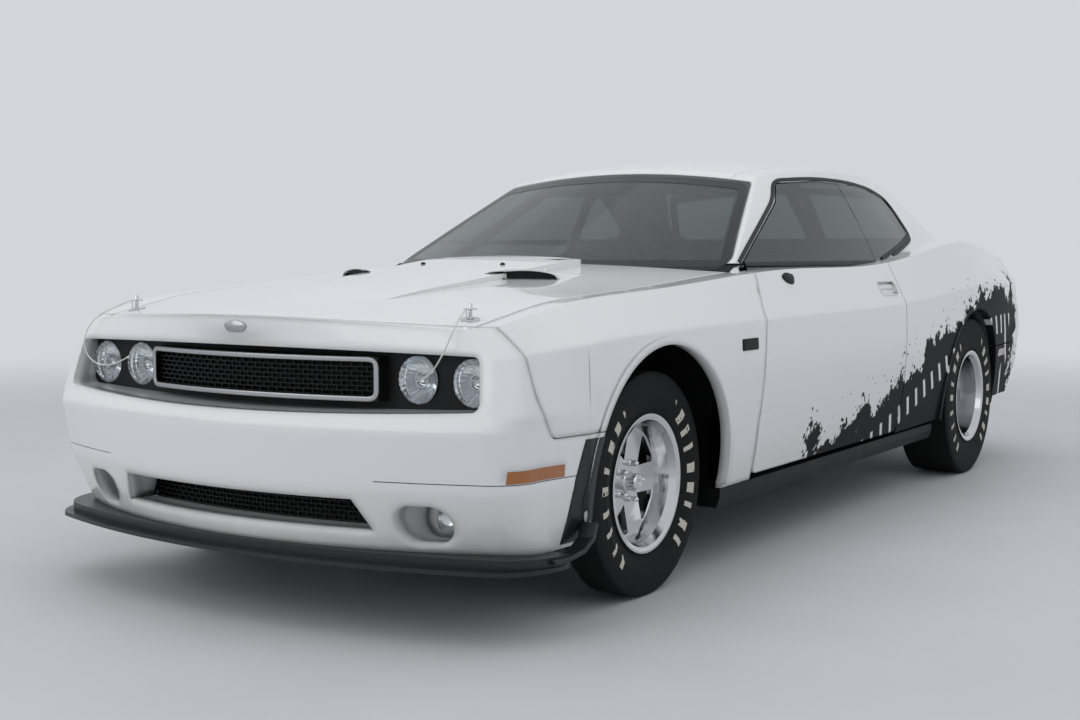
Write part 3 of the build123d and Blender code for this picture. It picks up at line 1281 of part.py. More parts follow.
def knuckle():
    """The left upright: a post between the ball joints, its spindle and caliper."""
    x, z, h = FRONT_AXLE_X, FRONT_TYRE_R, BALL_JOINT_HALF_HEIGHT
    post = box(x - 24, x + 24, UPRIGHT_INNER_Y, UPRIGHT_OUTER_Y, z - h - 14, z + h + 14)
    post = post + spindle(x, z, UPRIGHT_OUTER_Y - 10) + caliper(x, z, 10)
    for way in (-1, 1):
        socket = rod((x, KINGPIN_Y, z + way * (h - 22)), (x, KINGPIN_Y, z + way * (h + 40)),
                     STUD_SOCKET_R)
        post = post - socket
    return post


def wishbone(y_in, z_in, spread, way):
    """Two legs from the body to a ball with its stud in the knuckle."""
    x, z = FRONT_AXLE_X, FRONT_TYRE_R
    ball = (x, KINGPIN_Y, z + way * BALL_CENTRE_HEIGHT)
    arm = Pos(*ball) * Sphere(ARM_R + 3)
    for side in (-1, 1):
        arm = arm + rod((x + side * spread, y_in, z_in), ball, ARM_R)
        arm = arm + box(x + side * spread - 20, x + side * spread + 20, y_in - 8, y_in + 10,
                        z_in - 18, z_in + 18)
    stud_end = (x, KINGPIN_Y, z + way * (BALL_JOINT_HALF_HEIGHT - 10))
    return arm + rod(ball, stud_end, STUD_SOCKET_R - RUNNING_CLEARANCE)


def front_suspension():
    """The cross member, wishbones and dampers of the front axle."""
    x, z = FRONT_AXLE_X, FRONT_TYRE_R
    beam_top = RAIL_Z - SEAT_GAP
    beam = box(x - 175, x + 175, -(RAIL_Y + 40), RAIL_Y + 40, beam_top - 30, beam_top)
    lower = wishbone(RAIL_Y + 46, beam_top - 18, ARM_SPREAD, -1)
    bridge_z = beam_top - 46
    bridge = box(x - 90, x + 90, DAMPER_Y - 22, DAMPER_Y + 22, bridge_z - 20, bridge_z)
    damper = rod((x, DAMPER_Y, bridge_z - 2), (x, DAMPER_Y, SHELF_Z - SEAT_GAP), DAMPER_R)
    lower = lower + bridge + damper
    upper = wishbone(LINER_INNER_Y + 8 + SEAT_GAP, z + BALL_CENTRE_HEIGHT + 6, UPPER_ARM_SPREAD, 1)
    return Compound(children=list((lower + flip(lower) + beam).solids()) + list(both(upper).solids()))


def rear_axle():
    """The solid rear axle with its links, dampers and brake calipers."""
    x, z = REAR_AXLE_X, REAR_TYRE_R
    axle = rod((x, -680, z), (x, 680, z), AXLE_TUBE_R) + Pos(x, 0, z) * Sphere(DIFF_R)
    end = spindle(x, z, 660) + caliper(x, z, 10)
    link_x = REAR_BULKHEAD_X - FLOOR_THICK - SEAT_GAP
    end = end + box(x - 26, x + 26, LINK_Y - 8, LINK_Y + 8, z - 100, z + 100)
    for dz in (-80, 80):
        end = end + rod((x, LINK_Y, z + dz), (link_x, LINK_Y, z + dz), ARM_R)
    end = end + rod((x, REAR_DAMPER_Y, z), (x, REAR_DAMPER_Y, TRUNK_Z - SEAT_GAP), DAMPER_R)
    return axle + end + flip(end)


def engine_block():
    """The engine as one plain block with its mounts on the rails."""
    x0, x1, half, z0, z1 = ENGINE
    block = box(x0, x1, -half, half, z0, z1)
    mount = box((x0 + x1) / 2 - 60, (x0 + x1) / 2 + 60, half - 5, RAIL_Y - RAIL_WIDTH / 2 - SEAT_GAP,
                z0, z0 + 40)
    return block + mount + flip(mount)


def drive_line():
    """Gearbox under the tunnel and the shaft to the rear axle."""
    top = TUNNEL_Z - FLOOR_THICK - SEAT_GAP
    half = TUNNEL_HALF - FLOOR_THICK - 12
    box_x = ENGINE[0] - SEAT_GAP
    case = box(box_x - 740, box_x, -half, half, top - 140, top)
    shaft = rod((box_x - 738, 0, top - 70), (REAR_AXLE_X + DIFF_R - 4, 0, REAR_TYRE_R), 38)
    return case + (shaft - Pos(REAR_AXLE_X, 0, REAR_TYRE_R) * Sphere(DIFF_R + SEAT_GAP))


def exhaust():
    """Two pipes under the floor that turn out behind the axle."""
    pipe_z = FLOOR_Z - 46
    points = [(1040, 300, pipe_z), (-700, 300, pipe_z), (-1900, TAIL_PIPE_Y, pipe_z),
              (-2440, TAIL_PIPE_Y, pipe_z + 60)]
    path = FilletPolyline(*[Vector(*p) for p in points], radius=300)
    ring = Plane(path @ 0, z_dir=path % 0) * Circle(TAIL_PIPE_R)
    bore = Plane(path @ 1, z_dir=path % 1) * Circle(TAIL_PIPE_R - TUBE_WALL)
    pipe = sweep(ring, path) - extrude(bore, -120)
    hanger = box(-400, -340, 290, 310, pipe_z + 20, FLOOR_Z - SEAT_GAP)
    return both(pipe + hanger)


def fuel_cell():
    z = TRUNK_Z + FLOOR_THICK + SEAT_GAP
    return box(-2150, -1850, -250, 250, z, z + 240)


def radiator():
    z = RAIL_TOP_Z + SEAT_GAP
    return box(RAIL_FRONT_X - 70, RAIL_FRONT_X - 22, -340, 340, z, 742)


def dashboard():
    """The dash across the firewall, with its cowl top and column boss."""
    profile = shifted(DASH_PROFILE, FIREWALL_X - SEAT_GAP, 0)
    return side_prism(profile, -DASH_HALF, DASH_HALF) + column()


def column_axis():
    """The steering wheel's centre and the direction down its column."""
    tilt = math.radians(STEER_COLUMN_TILT)
    return Vector(*STEER_WHEEL_CENTRE), Vector(math.cos(tilt), 0, -math.sin(tilt))


def column():
    centre, down = column_axis()
    start = centre + down * (STEER_HUB_DEPTH + SEAT_GAP)
    return rod(tuple(start), tuple(centre + down * 300), 26)


def steering_wheel():
    """Rim, three spokes and hub of the steering wheel."""
    centre, down = column_axis()
    plane = Plane(centre, z_dir=down)
    wheel = plane * Torus(STEER_WHEEL_R, 14)
    wheel = wheel + plane * Cylinder(34, STEER_HUB_DEPTH, align=(Align.CENTER, Align.CENTER, Align.MIN))
    for turn in (0, 120, 240):
        spoke = Rot(0, 0, turn) * (Pos(STEER_WHEEL_R / 2, 0, 8) * Box(STEER_WHEEL_R, 30, 6))
        wheel = wheel + plane * spoke
    return wheel


def race_seat():
    """A bucket seat: shell with its side bolsters, on two runners."""
    z = FLOOR_Z + FLOOR_THICK + SEAT_GAP
    half = SEAT_HALF
    shell = side_prism(shifted(SEAT_SHELL, 0, z), SEAT_Y - half, SEAT_Y + half)
    for y in (SEAT_Y - half - BOLSTER_WIDTH, SEAT_Y + half):
        shell = shell + side_prism(shifted(SEAT_BOLSTER, 0, z), y, y + BOLSTER_WIDTH)
    for y in (SEAT_Y - half - 10, SEAT_Y + half + 10 - RUNNER_WIDTH):
        shell = shell + box(-150, SEAT_FRONT_X - 60, y, y + RUNNER_WIDTH, z, z + 95)
    return shell


def seats():
    return both(race_seat())


def tube(points, radius, bend):
    """A bent tube through the points."""
    path = FilletPolyline(*[Vector(*p) for p in points], radius=bend)
    return sweep(Plane(path @ 0, z_dir=path % 0) * Circle(radius), path)


def roll_cage():
    """Main hoop, roof and pillar bars, door bars, stays and the diagonal."""
    x, z = CAGE_HOOP_X, FLOOR_Z
    f, t, top = CAGE_FOOT_Y, CAGE_TOP_Y, CAGE_TOP_Z
    cage = tube([(x, -f, z), (x, -f, 960), (x, -t, top), (x, t, top), (x, f, 960), (x, f, z)],
                CAGE_R, 110)
    side = tube([(x, t - 20, top - 6), (90, t - 50, top - 16), (600, 612, 960), (CAGE_FRONT_X, 690, z)],
                CAGE_R, 120)
    side = side + rod((x, f, 680), (CAGE_FRONT_X - 60, 676, 400), CAGE_R)
    side = side + rod((x, t - 60, top - 8), (-1350, t - 60, TRUNK_Z), CAGE_R)
    cage = cage + side + flip(side)
    cage = cage + rod((x, f, 700), (x, -t + 40, top - 10), CAGE_R)
    cage = cage + rod((90, 50 - t, top - 16), (90, t - 50, top - 16), CAGE_R)
    floor_top = FLOOR_Z + FLOOR_THICK + SEAT_GAP
    cage = cage - box(-3000, 3000, -1000, 1000, 0, floor_top)
    return cage - box(-3000, REAR_BULKHEAD_X, -1000, 1000, 0, floor_top + TRUNK_Z - FLOOR_Z)


def lamps():
    """Round headlamps, fog lamps and side markers."""
    pieces = [headlamp(y, z) for y, z in HEADLAMPS] + [fog_lamp()]
    pieces = pieces + [marker(*MARKER_FRONT, SEAT_GAP), marker(*MARKER_REAR, SEAT_GAP)]
    solids = [s for piece in pieces for s in both(piece).solids()]
    return Compound(children=solids)


def door_glass():
    return side_glass(True)


def marker(x0, x1, z0, z1, gap):
    """A side marker's block in the skin, shrunk by a gap."""
    block = box(x0 + gap, x1 - gap, 600, 1100, z0 + gap, z1 - gap)
    return block & (OUTER - fused_body(HANDLE_DEPTH))


def hood_posts():
    """The two posts that come up through the hood."""
    x, y = HOOD_PIN
    post = rod((x, y, SHELF_Z), (x, y, HOOD_PIN_TOP), HOOD_POST_R)
    return post + flip(post)


def hood_pins():
    """Scuff plates round the posts, each with its ring clip."""
    x, y = HOOD_PIN
    plate = rod((x, y, SHELF_Z), (x, y, HOOD_PIN_TOP + 40), HOOD_PLATE_R)
    plate = plate & (Pos(0, 0, HOOD_PLATE_THICK) * OUTER)
    plate = (plate - (Pos(0, 0, SEAT_GAP) * OUTER)) - hood_post_hole()
    ring = Pos(x, y, HOOD_CLIP_Z) * Torus(HOOD_PLATE_R - 8, CLIP_WIRE_R)
    stem = rod((x + HOOD_PLATE_R - 8, y, HOOD_CLIP_Z), (x + HOOD_PLATE_R - 8, y, SHELF_Z), CLIP_WIRE_R)
    stem = stem - (Pos(0, 0, SEAT_GAP) * OUTER)
    return both(plate + ring + stem)


def hood_post_hole():
    x, y = HOOD_PIN
    return rod((x, y, SHELF_Z - 50), (x, y, HOOD_PIN_TOP + 60), HOOD_POST_R + HOOD_POST_GAP)


def cord(name, points):
    """A lanyard: straight runs joined by tangent arcs as wide as the runs allow."""
    runs = [(points[k + 1] - points[k]) for k in range(len(points) - 1)]
    radii = []
    for a, b in zip(runs, runs[1:]):
        turn = math.radians(a.get_angle(b))
        radii.append(CORD_ARC_SHARE * min(a.length, b.length) / math.tan(turn / 2))
    path = FilletPolyline(*points, radius=radii)
    solid = sweep(Plane(path @ 0, z_dir=path % 0) * Circle(CORD_D / 2), path)
    section = math.pi * CORD_D ** 2 / 4
    print(name, "radii", [round(r) for r in radii], "length", round(path.length),
          "volume / (section x length)", round(solid.volume / (section * path.length), 4))
    return solid


def lanyard_left():
    return cord("lanyard_left", [Vector(*p) for p in LANYARD_LEFT])


def lanyard_right():
    return cord("lanyard_right", [Vector(*p) for p in LANYARD_RIGHT])


def fixed_glass():
    """Windshield, rear window and both quarter windows."""
    solids = windshield().solids() + rear_glass().solids() + both(side_glass(False)).solids()
    return Compound(children=list(solids))


def grilles():
    """The framed grille between the lamps and the plate in the bumper's mouth."""
    return Compound(children=list(upper_grille().solids()) + list(lower_grille().solids()))


# Nodes in the middle of the car, then nodes made left and mirrored.
CENTRE_NODES = {
    "front_fascia": front_fascia, "lamp_panel": lamp_panel, "lamps": lamps,
    "grilles": grilles, "splitter": splitter, "hood": hood, "hood_pins": hood_pins,
    "lanyard_left": lanyard_left, "lanyard_right": lanyard_right, "cowl": cowl, "roof": roof,
    "fixed_glass": fixed_glass, "rear_deck_panel": rear_deck_panel, "decklid": decklid,
    "tail_panel": tail_panel, "tail_lamps": tail_lamps, "rear_fascia": rear_fascia,
    "sills": sills, "floor_pan": floor_pan, "rear_tubs": rear_tubs,
    "frame_rails": frame_rails, "hinge_posts": hinge_posts,
    "front_suspension": front_suspension, "rear_axle": rear_axle,
    "engine_block": engine_block, "drive_line": drive_line, "exhaust": exhaust,
    "fuel_cell": fuel_cell, "radiator": radiator, "dashboard": dashboard,
    "steering_wheel": steering_wheel, "seats": seats, "roll_cage": roll_cage,
}
SIDE_NODES = {
    "fender": fender, "quarter": quarter, "door": door, "door_glass": door_glass,
    "knuckle": knuckle, "tyre_front": tyre_front, "rim_front": rim_front,
    "tyre_rear": tyre_rear, "rim_rear": rim_rear,
}

os.makedirs("parts", exist_ok=True)
for node, make in CENTRE_NODES.items():
    leave(node, make())
for node, make in SIDE_NODES.items():
    left = make()
    leave(node + "_left", left)
    leave(node + "_right", flip(left))
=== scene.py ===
# %% [markdown]
# A two-door drag racing coupe, dressed for a studio photograph. The CAD model is the
# frame: every panel, wheel and tube is already in its place, in metres. This script
# gives the CAD pieces their finishes and adds what CAD left out: lamps with real
# reflectors, wheel nuts, window seals, padded seats and the two hood-pin lanyards.

# %% Load the frame
import math

import bmesh
import bpy
import numpy as np
from mathutils.bvhtree import BVHTree
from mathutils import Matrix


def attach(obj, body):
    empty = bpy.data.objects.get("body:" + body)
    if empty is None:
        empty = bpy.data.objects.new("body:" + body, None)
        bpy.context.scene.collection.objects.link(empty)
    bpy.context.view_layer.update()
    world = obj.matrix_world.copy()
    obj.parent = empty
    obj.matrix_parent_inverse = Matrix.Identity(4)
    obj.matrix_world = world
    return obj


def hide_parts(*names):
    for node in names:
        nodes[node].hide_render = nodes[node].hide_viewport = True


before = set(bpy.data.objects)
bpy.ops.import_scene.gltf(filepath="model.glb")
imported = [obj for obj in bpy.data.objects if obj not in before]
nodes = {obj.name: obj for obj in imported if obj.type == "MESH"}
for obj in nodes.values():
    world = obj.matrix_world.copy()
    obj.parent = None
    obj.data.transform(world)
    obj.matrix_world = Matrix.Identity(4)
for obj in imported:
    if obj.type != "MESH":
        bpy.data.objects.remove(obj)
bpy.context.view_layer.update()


def placed(name, data):
    """A new object with this data, linked into the scene."""
    made = bpy.data.objects.new(name, data)
    bpy.context.scene.collection.objects.link(made)
    return made


BOTH = ("left", "right")

# %% [markdown]
# The camera stands where the photographer stood: a little above the hood's height,
# ahead of the left headlamp, with a normal lens. It could be placed by eye, but the
# numbers come from fitting the wheels, lamps and seams of the car to their places in
# the picture, which also settles the lens.

# %% Camera
CAMERA_PLACE = (5.372, 2.919, 1.029)
CAMERA_AZIMUTH = -147.157
CAMERA_ELEVATION = -4.302
LENS = 48.97
SENSOR = 36.0

camera_data = bpy.data.cameras.new("camera")
camera_data.lens = LENS
camera_data.sensor_width = SENSOR
camera = placed("camera", camera_data)
camera.location = CAMERA_PLACE
camera.rotation_euler = (
    math.radians(90 + CAMERA_ELEVATION), 0.0, math.radians(CAMERA_AZIMUTH - 90))
bpy.context.scene.camera = camera
print("camera at", CAMERA_PLACE)

# %% [markdown]
# Materials are built from shader nodes. One function turns a written sRGB colour into
# the linear numbers that shaders use, and one adds a node with its settings and links,
# so that each material below reads as a short list of what its surface does.

# %% Material helpers
def linear(code):
    """sRGB hex to linear RGBA: the display curve undone, channel by channel."""
    c = np.array([int(code[i:i + 2], 16) for i in (1, 3, 5)]) / 255
    c = np.where(c <= 0.04045, c / 12.92, ((c + 0.055) / 1.055) ** 2.4)
    return (*c.tolist(), 1.0)


def add(mat, kind, inputs=(), operation=None, stops=(), **settings):
    """Adds one node. Settings are its properties; inputs are values, nodes or sockets.

    Inputs are a dictionary by socket, or a list in the sockets' order. Stops are the
    (position, hex colour) pairs of a colour ramp.
    """
    made = mat.node_tree.nodes.new("ShaderNode" + kind)
    if operation:
        made.operation = operation
    for number, (position, colour) in enumerate(stops):
        if number >= len(made.color_ramp.elements):
            made.color_ramp.elements.new(position)
        made.color_ramp.elements[number].position = position
        made.color_ramp.elements[number].color = linear(colour)
    for key, value in settings.items():
        setattr(made, key, value)
    for key, value in inputs.items() if isinstance(inputs, dict) else enumerate(inputs):
        if isinstance(value, bpy.types.Node):
            value = value.outputs[0]
        if isinstance(value, bpy.types.NodeSocket):
            mat.node_tree.links.new(value, made.inputs[key])
        else:
            made.inputs[key].default_value = value
    return made


def substance(name, colour, roughness, **sockets):
    """A new material on a Principled shader, and the object's coordinates for its nodes."""
    mat = bpy.data.materials.new(name)
    mat.use_nodes = True
    shader = mat.node_tree.nodes["Principled BSDF"]
    shader.inputs["Base Color"].default_value = linear(colour)
    shader.inputs["Roughness"].default_value = roughness
    for key, value in sockets.items():
        shader.inputs[key.replace("_", " ")].default_value = value
    return mat, add(mat, "TexCoord").outputs["Object"]


def connect(mat, **links):
    """Links nodes or sockets to the Principled shader's inputs."""
    shader = mat.node_tree.nodes["Principled BSDF"]
    for key, value in links.items():
        value = value.outputs[0] if isinstance(value, bpy.types.Node) else value
        mat.node_tree.links.new(value, shader.inputs[key.replace("_", " ")])


def dress(mat, *names):
    """Gives CAD nodes this material in each of their slots. A {} becomes both sides."""
    for name in sorted({name.format(side) for name in names for side in BOTH}):
        for slot in nodes[name].material_slots:
            slot.material = mat


print("helpers ready")

# %% [markdown]
# The lanyards are thin plastic-covered steel cords that keep the hood-pin clips from
# getting lost. Each leaves its ring clip, runs forward over the header panel and hangs
# in front of the lamps. A cord is a curve: a NURBS spline through a short list of route
# points, with round thickness, so its length is fixed and its bends stay smooth.

# %% Lanyards
CORD_DIAMETER = 0.004
ROUTES = {
    "left": (0.353, [
        (2208, 642, 871), (2240, 654, 858), (2280, 668, 842), (2319, 681, 818),
        (2344, 680, 782), (2354, 662, 742), (2350, 632, 708), (2334, 592, 690),
        (2312, 552, 682)]),
    "right": (0.432, [
        (2208, -642, 871), (2240, -656, 858), (2279, -671, 841), (2317, -686, 817),
        (2342, -695, 782), (2352, -698, 738), (2352, -676, 700), (2352, -636, 680),
        (2350, -590, 679), (2344, -548, 690), (2334, -515, 708)]),
}


def cord_curve(name, route, diameter):
    """A NURBS spline of order 3 whose control points are the route's points."""
    curve = bpy.data.curves.new(name, "CURVE")
    curve.dimensions = "3D"
    curve.bevel_depth = diameter / 2
    curve.bevel_resolution = 4
    curve.resolution_u = 12
    curve.use_fill_caps = True
    spline = curve.splines.new("NURBS")
    spline.points.add(len(route) - 1)
    for point, place in zip(spline.points, route):
        point.co = (*(v / 1000 for v in place), 1.0)
    spline.order_u = 3
    spline.use_endpoint_u = True
    return placed(name, curve)


lanyards = {side: cord_curve(f"lanyard_cord_{side}", route, CORD_DIAMETER)
            for side, (_, route) in ROUTES.items()}
print("lanyards", list(lanyards))

# %% [markdown]
# New pieces are surfaces worked out with numpy. Two shapes do nearly all the work: a
# profile turned about an axis, for lamps, nuts and caps, and a profile carried along a
# path, for seals, frames and bars. Both are grids of points, made as whole arrays.

# %% Surface helpers
MERGE_DISTANCE = 2e-6


def unit(vectors):
    """The vectors divided by their lengths."""
    return vectors / np.linalg.norm(vectors, axis=-1, keepdims=True)


def surface(points, close_u=False, close_v=False):
    """Grid (rows, columns, 3) to (points, quads): cell i, j joins row i to row i + 1."""
    rows, cols = points.shape[:2]
    r = np.arange(rows if close_u else rows - 1)
    c = np.arange(cols if close_v else cols - 1)
    r, c = np.meshgrid(r, c, indexing="ij")
    r2, c2 = (r + 1) % rows, (c + 1) % cols
    quads = np.stack([r * cols + c, r * cols + c2, r2 * cols + c2, r2 * cols + c], -1)
    return points.reshape(-1, 3), quads.reshape(-1, 4)


def turned(profile, centre, axis, steps=48, flute=0.0, flutes=0):
    """Profile rows (along the axis, radius) turned about the axis through centre.

    The point at angle t is centre + along * axis + radius * (cos t * u + sin t * v),
    where u and v are square to the axis, and flutes vary the radius with cos(n * t).
    """
    profile, axis = np.asarray(profile, float), unit(np.asarray(axis, float))
    u = unit(np.cross(axis, (0.0, 0.0, 1.0) if abs(axis[2]) < 0.9 else (1.0, 0.0, 0.0)))
    v = np.cross(axis, u)
    t = np.linspace(0, 2 * np.pi, steps, endpoint=False)[None, :, None]
    along, radius = profile[:, 0][:, None, None], profile[:, 1][:, None, None]
    radius = radius * (1 + flute * np.cos(flutes * t))
    points = np.asarray(centre) + along * axis + radius * (np.cos(t) * u + np.sin(t) * v)
    return surface(points, close_v=True)


def carried(path, normals, profile, closed=False):
    """Profile rows (across, out) carried along a path with the surface's normals.

    Each point is path + across * (tangent x normal) + out * normal. An open path has
    its end rings drawn together to a point, which closes the ends.
    """
    path, normals = np.asarray(path, float), np.asarray(normals, float)
    around = np.roll(path, -1, 0) - np.roll(path, 1, 0)
    tangent = unit(around if closed else np.gradient(path, axis=0))
    across = unit(np.cross(tangent, normals))
    out = np.cross(across, tangent)
    profile = np.asarray(profile, float)
    rings = (path[:, None, :] + profile[None, :, :1] * across[:, None, :]
             + profile[None, :, 1:] * out[:, None, :])
    if not closed:
        first, last = rings[:1].mean(1, keepdims=True), rings[-1:].mean(1, keepdims=True)
        size = rings.shape[1]
        rings = np.concatenate([np.repeat(first, size, 1), rings, np.repeat(last, size, 1)])
    return surface(rings, close_u=closed, close_v=True)


def piece(name, parts, mat, body, sharp=35.0):
    """One object from a list of (points, quads), riding on a CAD body."""
    points, quads, start = [], [], 0
    for p, q in parts:
        points.append(p)
        quads.append(q + start)
        start += len(p)
    mesh = bpy.data.meshes.new(name)
    mesh.from_pydata(np.concatenate(points).tolist(), [], np.concatenate(quads).tolist())
    work = bmesh.new()
    work.from_mesh(mesh)
    bmesh.ops.remove_doubles(work, verts=work.verts, dist=MERGE_DISTANCE)
    bmesh.ops.recalc_face_normals(work, faces=work.faces)
    work.to_mesh(mesh)
    work.free()
    mesh.shade_smooth()
    mesh.set_sharp_from_angle(angle=math.radians(sharp))
    mesh.materials.append(mat)
    made = placed(name, mesh)
    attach(made, body)
    return made


def mirrored(part):
    """The same (points, quads) on the car's other side."""
    points, quads = part
    return points * (1.0, -1.0, 1.0), quads[:, ::-1]


def both(*parts):
    """The left parts, each followed by its mirror image."""
    return [made for part in parts for made in (part, mirrored(part))]


def pair(name, parts, mat, body):
    """A left piece and its mirror image. A {} in the body's name becomes the side."""
    for side, made in zip(BOTH, (parts, [mirrored(part) for part in parts])):
        piece(f"{name}_{side}", made, mat, body.format(side))


def arrays(mesh):
    """A mesh's points (n, 3) and the point numbers of all its corners."""
    points, corners = np.empty(len(mesh.vertices) * 3), np.empty(len(mesh.loops), int)
    mesh.vertices.foreach_get("co", points)
    mesh.loops.foreach_get("vertex_index", corners)
    return points.reshape(-1, 3), corners


def rounded_bar(width, height, corner, steps=4):
    """A closed bar profile: a rectangle standing on out = 0 with its corners rounded."""
    t = np.linspace(0, np.pi / 2, steps)
    right = np.stack([width / 2 - corner + corner * np.cos(t),
                      height - corner + corner * np.sin(t)], 1)
    left = right[::-1] * (-1, 1)
    return np.concatenate([[(width / 2, 0.0)], right, left, [(-width / 2, 0.0)]])


print("surface helpers ready")

# %% [markdown]
# The body is sprayed steel: a white enamel under clear lacquer. The eye reads it by two
# things, a soft white that never quite reaches paper white and the sharp reflections in
# the lacquer. Very slight waves in the lacquer, the painter's orange peel, keep the
# reflections from looking like plastic. The waves are about 8 mm across. Pressed panels
# have no knife edges, so the shading also rounds every edge by some millimetres.

# %% White enamel
ENAMEL_WHITE = "#E4E5E6"
ENAMEL_ROUGHNESS = 0.32
PEEL_PER_METRE = 120.0
LOW_TONE_TOP, LOW_TONE_FULL = 0.42, 0.2


def enamel(name, rounding=0.012):
    """White enamel with lacquer waves, rounded edges and a greyer tone in blotches low down."""
    mat, place = substance(name, ENAMEL_WHITE, ENAMEL_ROUGHNESS, Coat_Weight=1.0,
                           Coat_Roughness=0.03, Coat_IOR=1.5, IOR=1.5,
                           Specular_IOR_Level=0.2)
    peel = add(mat, "TexNoise", {"Vector": place, "Scale": PEEL_PER_METRE, "Detail": 1.0})
    soft = add(mat, "Bevel", {"Radius": rounding}, samples=6)
    bump = add(mat, "Bump", {"Height": peel, "Strength": 0.05, "Distance": 0.0004,
                             "Normal": soft})
    connect(mat, Normal=soft, Coat_Normal=bump)
    # From 0.42 m down to 0.2 m the white turns greyer and warmer, in blotches, the most at the
    # bottom.
    height = add(mat, "SeparateXYZ", [place]).outputs["Z"]
    low = add(mat, "MapRange", {"Value": height, "From Min": LOW_TONE_TOP, "From Max": LOW_TONE_FULL})
    blotches = add(mat, "TexNoise", {"Vector": place, "Scale": 14.0, "Detail": 6.0})
    low_tone = add(mat, "Math", [low, blotches], "MULTIPLY")
    shade = add(mat, "ValToRGB", [low_tone],
                stops=[(0.0, ENAMEL_WHITE), (0.5, "#D9D9D6"), (1.0, "#C6C4BE")])
    connect(mat, Base_Color=shade)
    return mat, place, shade


white_paint, _, _ = enamel("white enamel, sprayed and lacquered")
fender_paint, _, _ = enamel("white enamel on the pressed fenders", 0.03)
dress(white_paint, "hood", "roof", "rear_deck_panel", "decklid", "tail_panel")
dress(fender_paint, "fender_{}")
print("white enamel on the plain panels")

# %% [markdown]
# The bumper skin has one fine seam on each side, where its lower part begins. It is a moulded
# line about 3 mm wide, too fine to be worth geometry, so the shade that falls in it is painted:
# the paint darkens along it.

# %% Bumper paint
SEAM_Z = 0.427
SEAM_HALF = 0.0014
SEAM_FROM_Y = 0.50

bumper_paint, place, shade = enamel("white enamel on the moulded bumper", 0.035)
_, y, z = add(bumper_paint, "SeparateXYZ", [place]).outputs
sideways = add(bumper_paint, "Math", [y], "ABSOLUTE")
near = add(bumper_paint, "Math", [z, SEAM_Z, SEAM_HALF], "COMPARE")
outer = add(bumper_paint, "Math", [sideways, SEAM_FROM_Y], "GREATER_THAN")
# Painted shade: along the seam the white turns dark grey, where the line's shadow would fall.
seam_shade = add(bumper_paint, "Math", [near, outer], "MULTIPLY")
with_seam_shade = add(bumper_paint, "Mix", {0: seam_shade, 6: shade, 7: linear("#4A4A4B")}, data_type="RGBA")
connect(bumper_paint, Base_Color=with_seam_shade.outputs[2])
dress(bumper_paint, "front_fascia")
print("bumper seam at", SEAM_Z)

# %% [markdown]
# The doors and rear quarters carry a vinyl wrap: a torn black sweep with speckled edges
# and a few slanted bars. It could be a picture, but a picture needs an image file, so
# the shape is worked out in the shader: a rising line, roughened by noise, with dots
# that thin out away from it. It is a plain design of its own.

# %% Wrapped panels
SWEEP_FRONT_X, SWEEP_TOP_X, SWEEP_REAR_X = 0.52, -1.75, -2.15
SWEEP_LOW_Z, SWEEP_RISE = 0.34, 0.50
TEAR = 0.30
DOTS_PER_METRE, DOT_REACH, DOT_SIZE = 34.0, 0.13, 0.34
BAR_SLANT, BAR_SPACING, BAR_HALF = -0.55, 0.052, 0.013
BARS_DEPTH, BARS_HALF_LENGTH = 0.17, 0.045
VINYL_ROUGHNESS = 0.62

wrap, place, shade = enamel("white enamel with a torn black vinyl sweep")
x, _, z = add(wrap, "SeparateXYZ", [place]).outputs
run = add(wrap, "MapRange", {"Value": x, "From Min": SWEEP_FRONT_X,
                             "From Max": SWEEP_TOP_X}, interpolation_type="SMOOTHSTEP")
rise = add(wrap, "Math", [run, SWEEP_RISE, SWEEP_LOW_Z], "MULTIPLY_ADD")
below = add(wrap, "Math", [rise, z], "SUBTRACT")
ahead = add(wrap, "Math", [SWEEP_FRONT_X, x], "SUBTRACT")
behind = add(wrap, "Math", [x, SWEEP_REAR_X], "SUBTRACT")
inside = add(wrap, "Math", [ahead, behind], "MINIMUM")
depth = add(wrap, "Math", [below, inside], "MINIMUM")
tear = add(wrap, "TexNoise", {"Vector": place, "Scale": 7.0, "Detail": 9.0, "Roughness": 0.68})
torn = add(wrap, "Math", [tear, 0.5], "SUBTRACT")
edge = add(wrap, "Math", [torn, TEAR * 2, depth], "MULTIPLY_ADD")
solid = add(wrap, "Math", [edge, 0.0], "GREATER_THAN")
cells = add(wrap, "TexVoronoi", {"Vector": place, "Scale": DOTS_PER_METRE, "Randomness": 1.0})
reach = add(wrap, "MapRange", {"Value": edge, "From Min": -DOT_REACH, "From Max": 0.0,
                               "To Min": 0.0, "To Max": DOT_SIZE})
dots = add(wrap, "Math", [cells.outputs["Distance"], reach], "LESS_THAN")
black = add(wrap, "Math", [solid, dots], "MAXIMUM")
slant = add(wrap, "Math", [z, BAR_SLANT, x], "MULTIPLY_ADD")
bars = add(wrap, "Math", [slant, BAR_SPACING], "PINGPONG")
bar = add(wrap, "Math", [bars, BAR_HALF], "LESS_THAN")
band = add(wrap, "Math", [depth, BARS_DEPTH, BARS_HALF_LENGTH], "COMPARE")
inset = add(wrap, "Math", [bar, band], "MULTIPLY")
printed = add(wrap, "Math", [black, inset], "SUBTRACT", use_clamp=True)
mixed = add(wrap, "Mix", {0: printed, 6: shade, 7: linear("#0B0B0C")}, data_type="RGBA")
film = add(wrap, "Math", [1.0, printed], "SUBTRACT")
matt = add(wrap, "MapRange", {"Value": printed, "To Min": ENAMEL_ROUGHNESS,
                              "To Max": VINYL_ROUGHNESS})
connect(wrap, Base_Color=mixed.outputs[2], Coat_Weight=film, Roughness=matt)
dress(wrap, "rear_fascia", "door_{}", "quarter_{}")
print("wrap on doors, quarters and rear bumper")

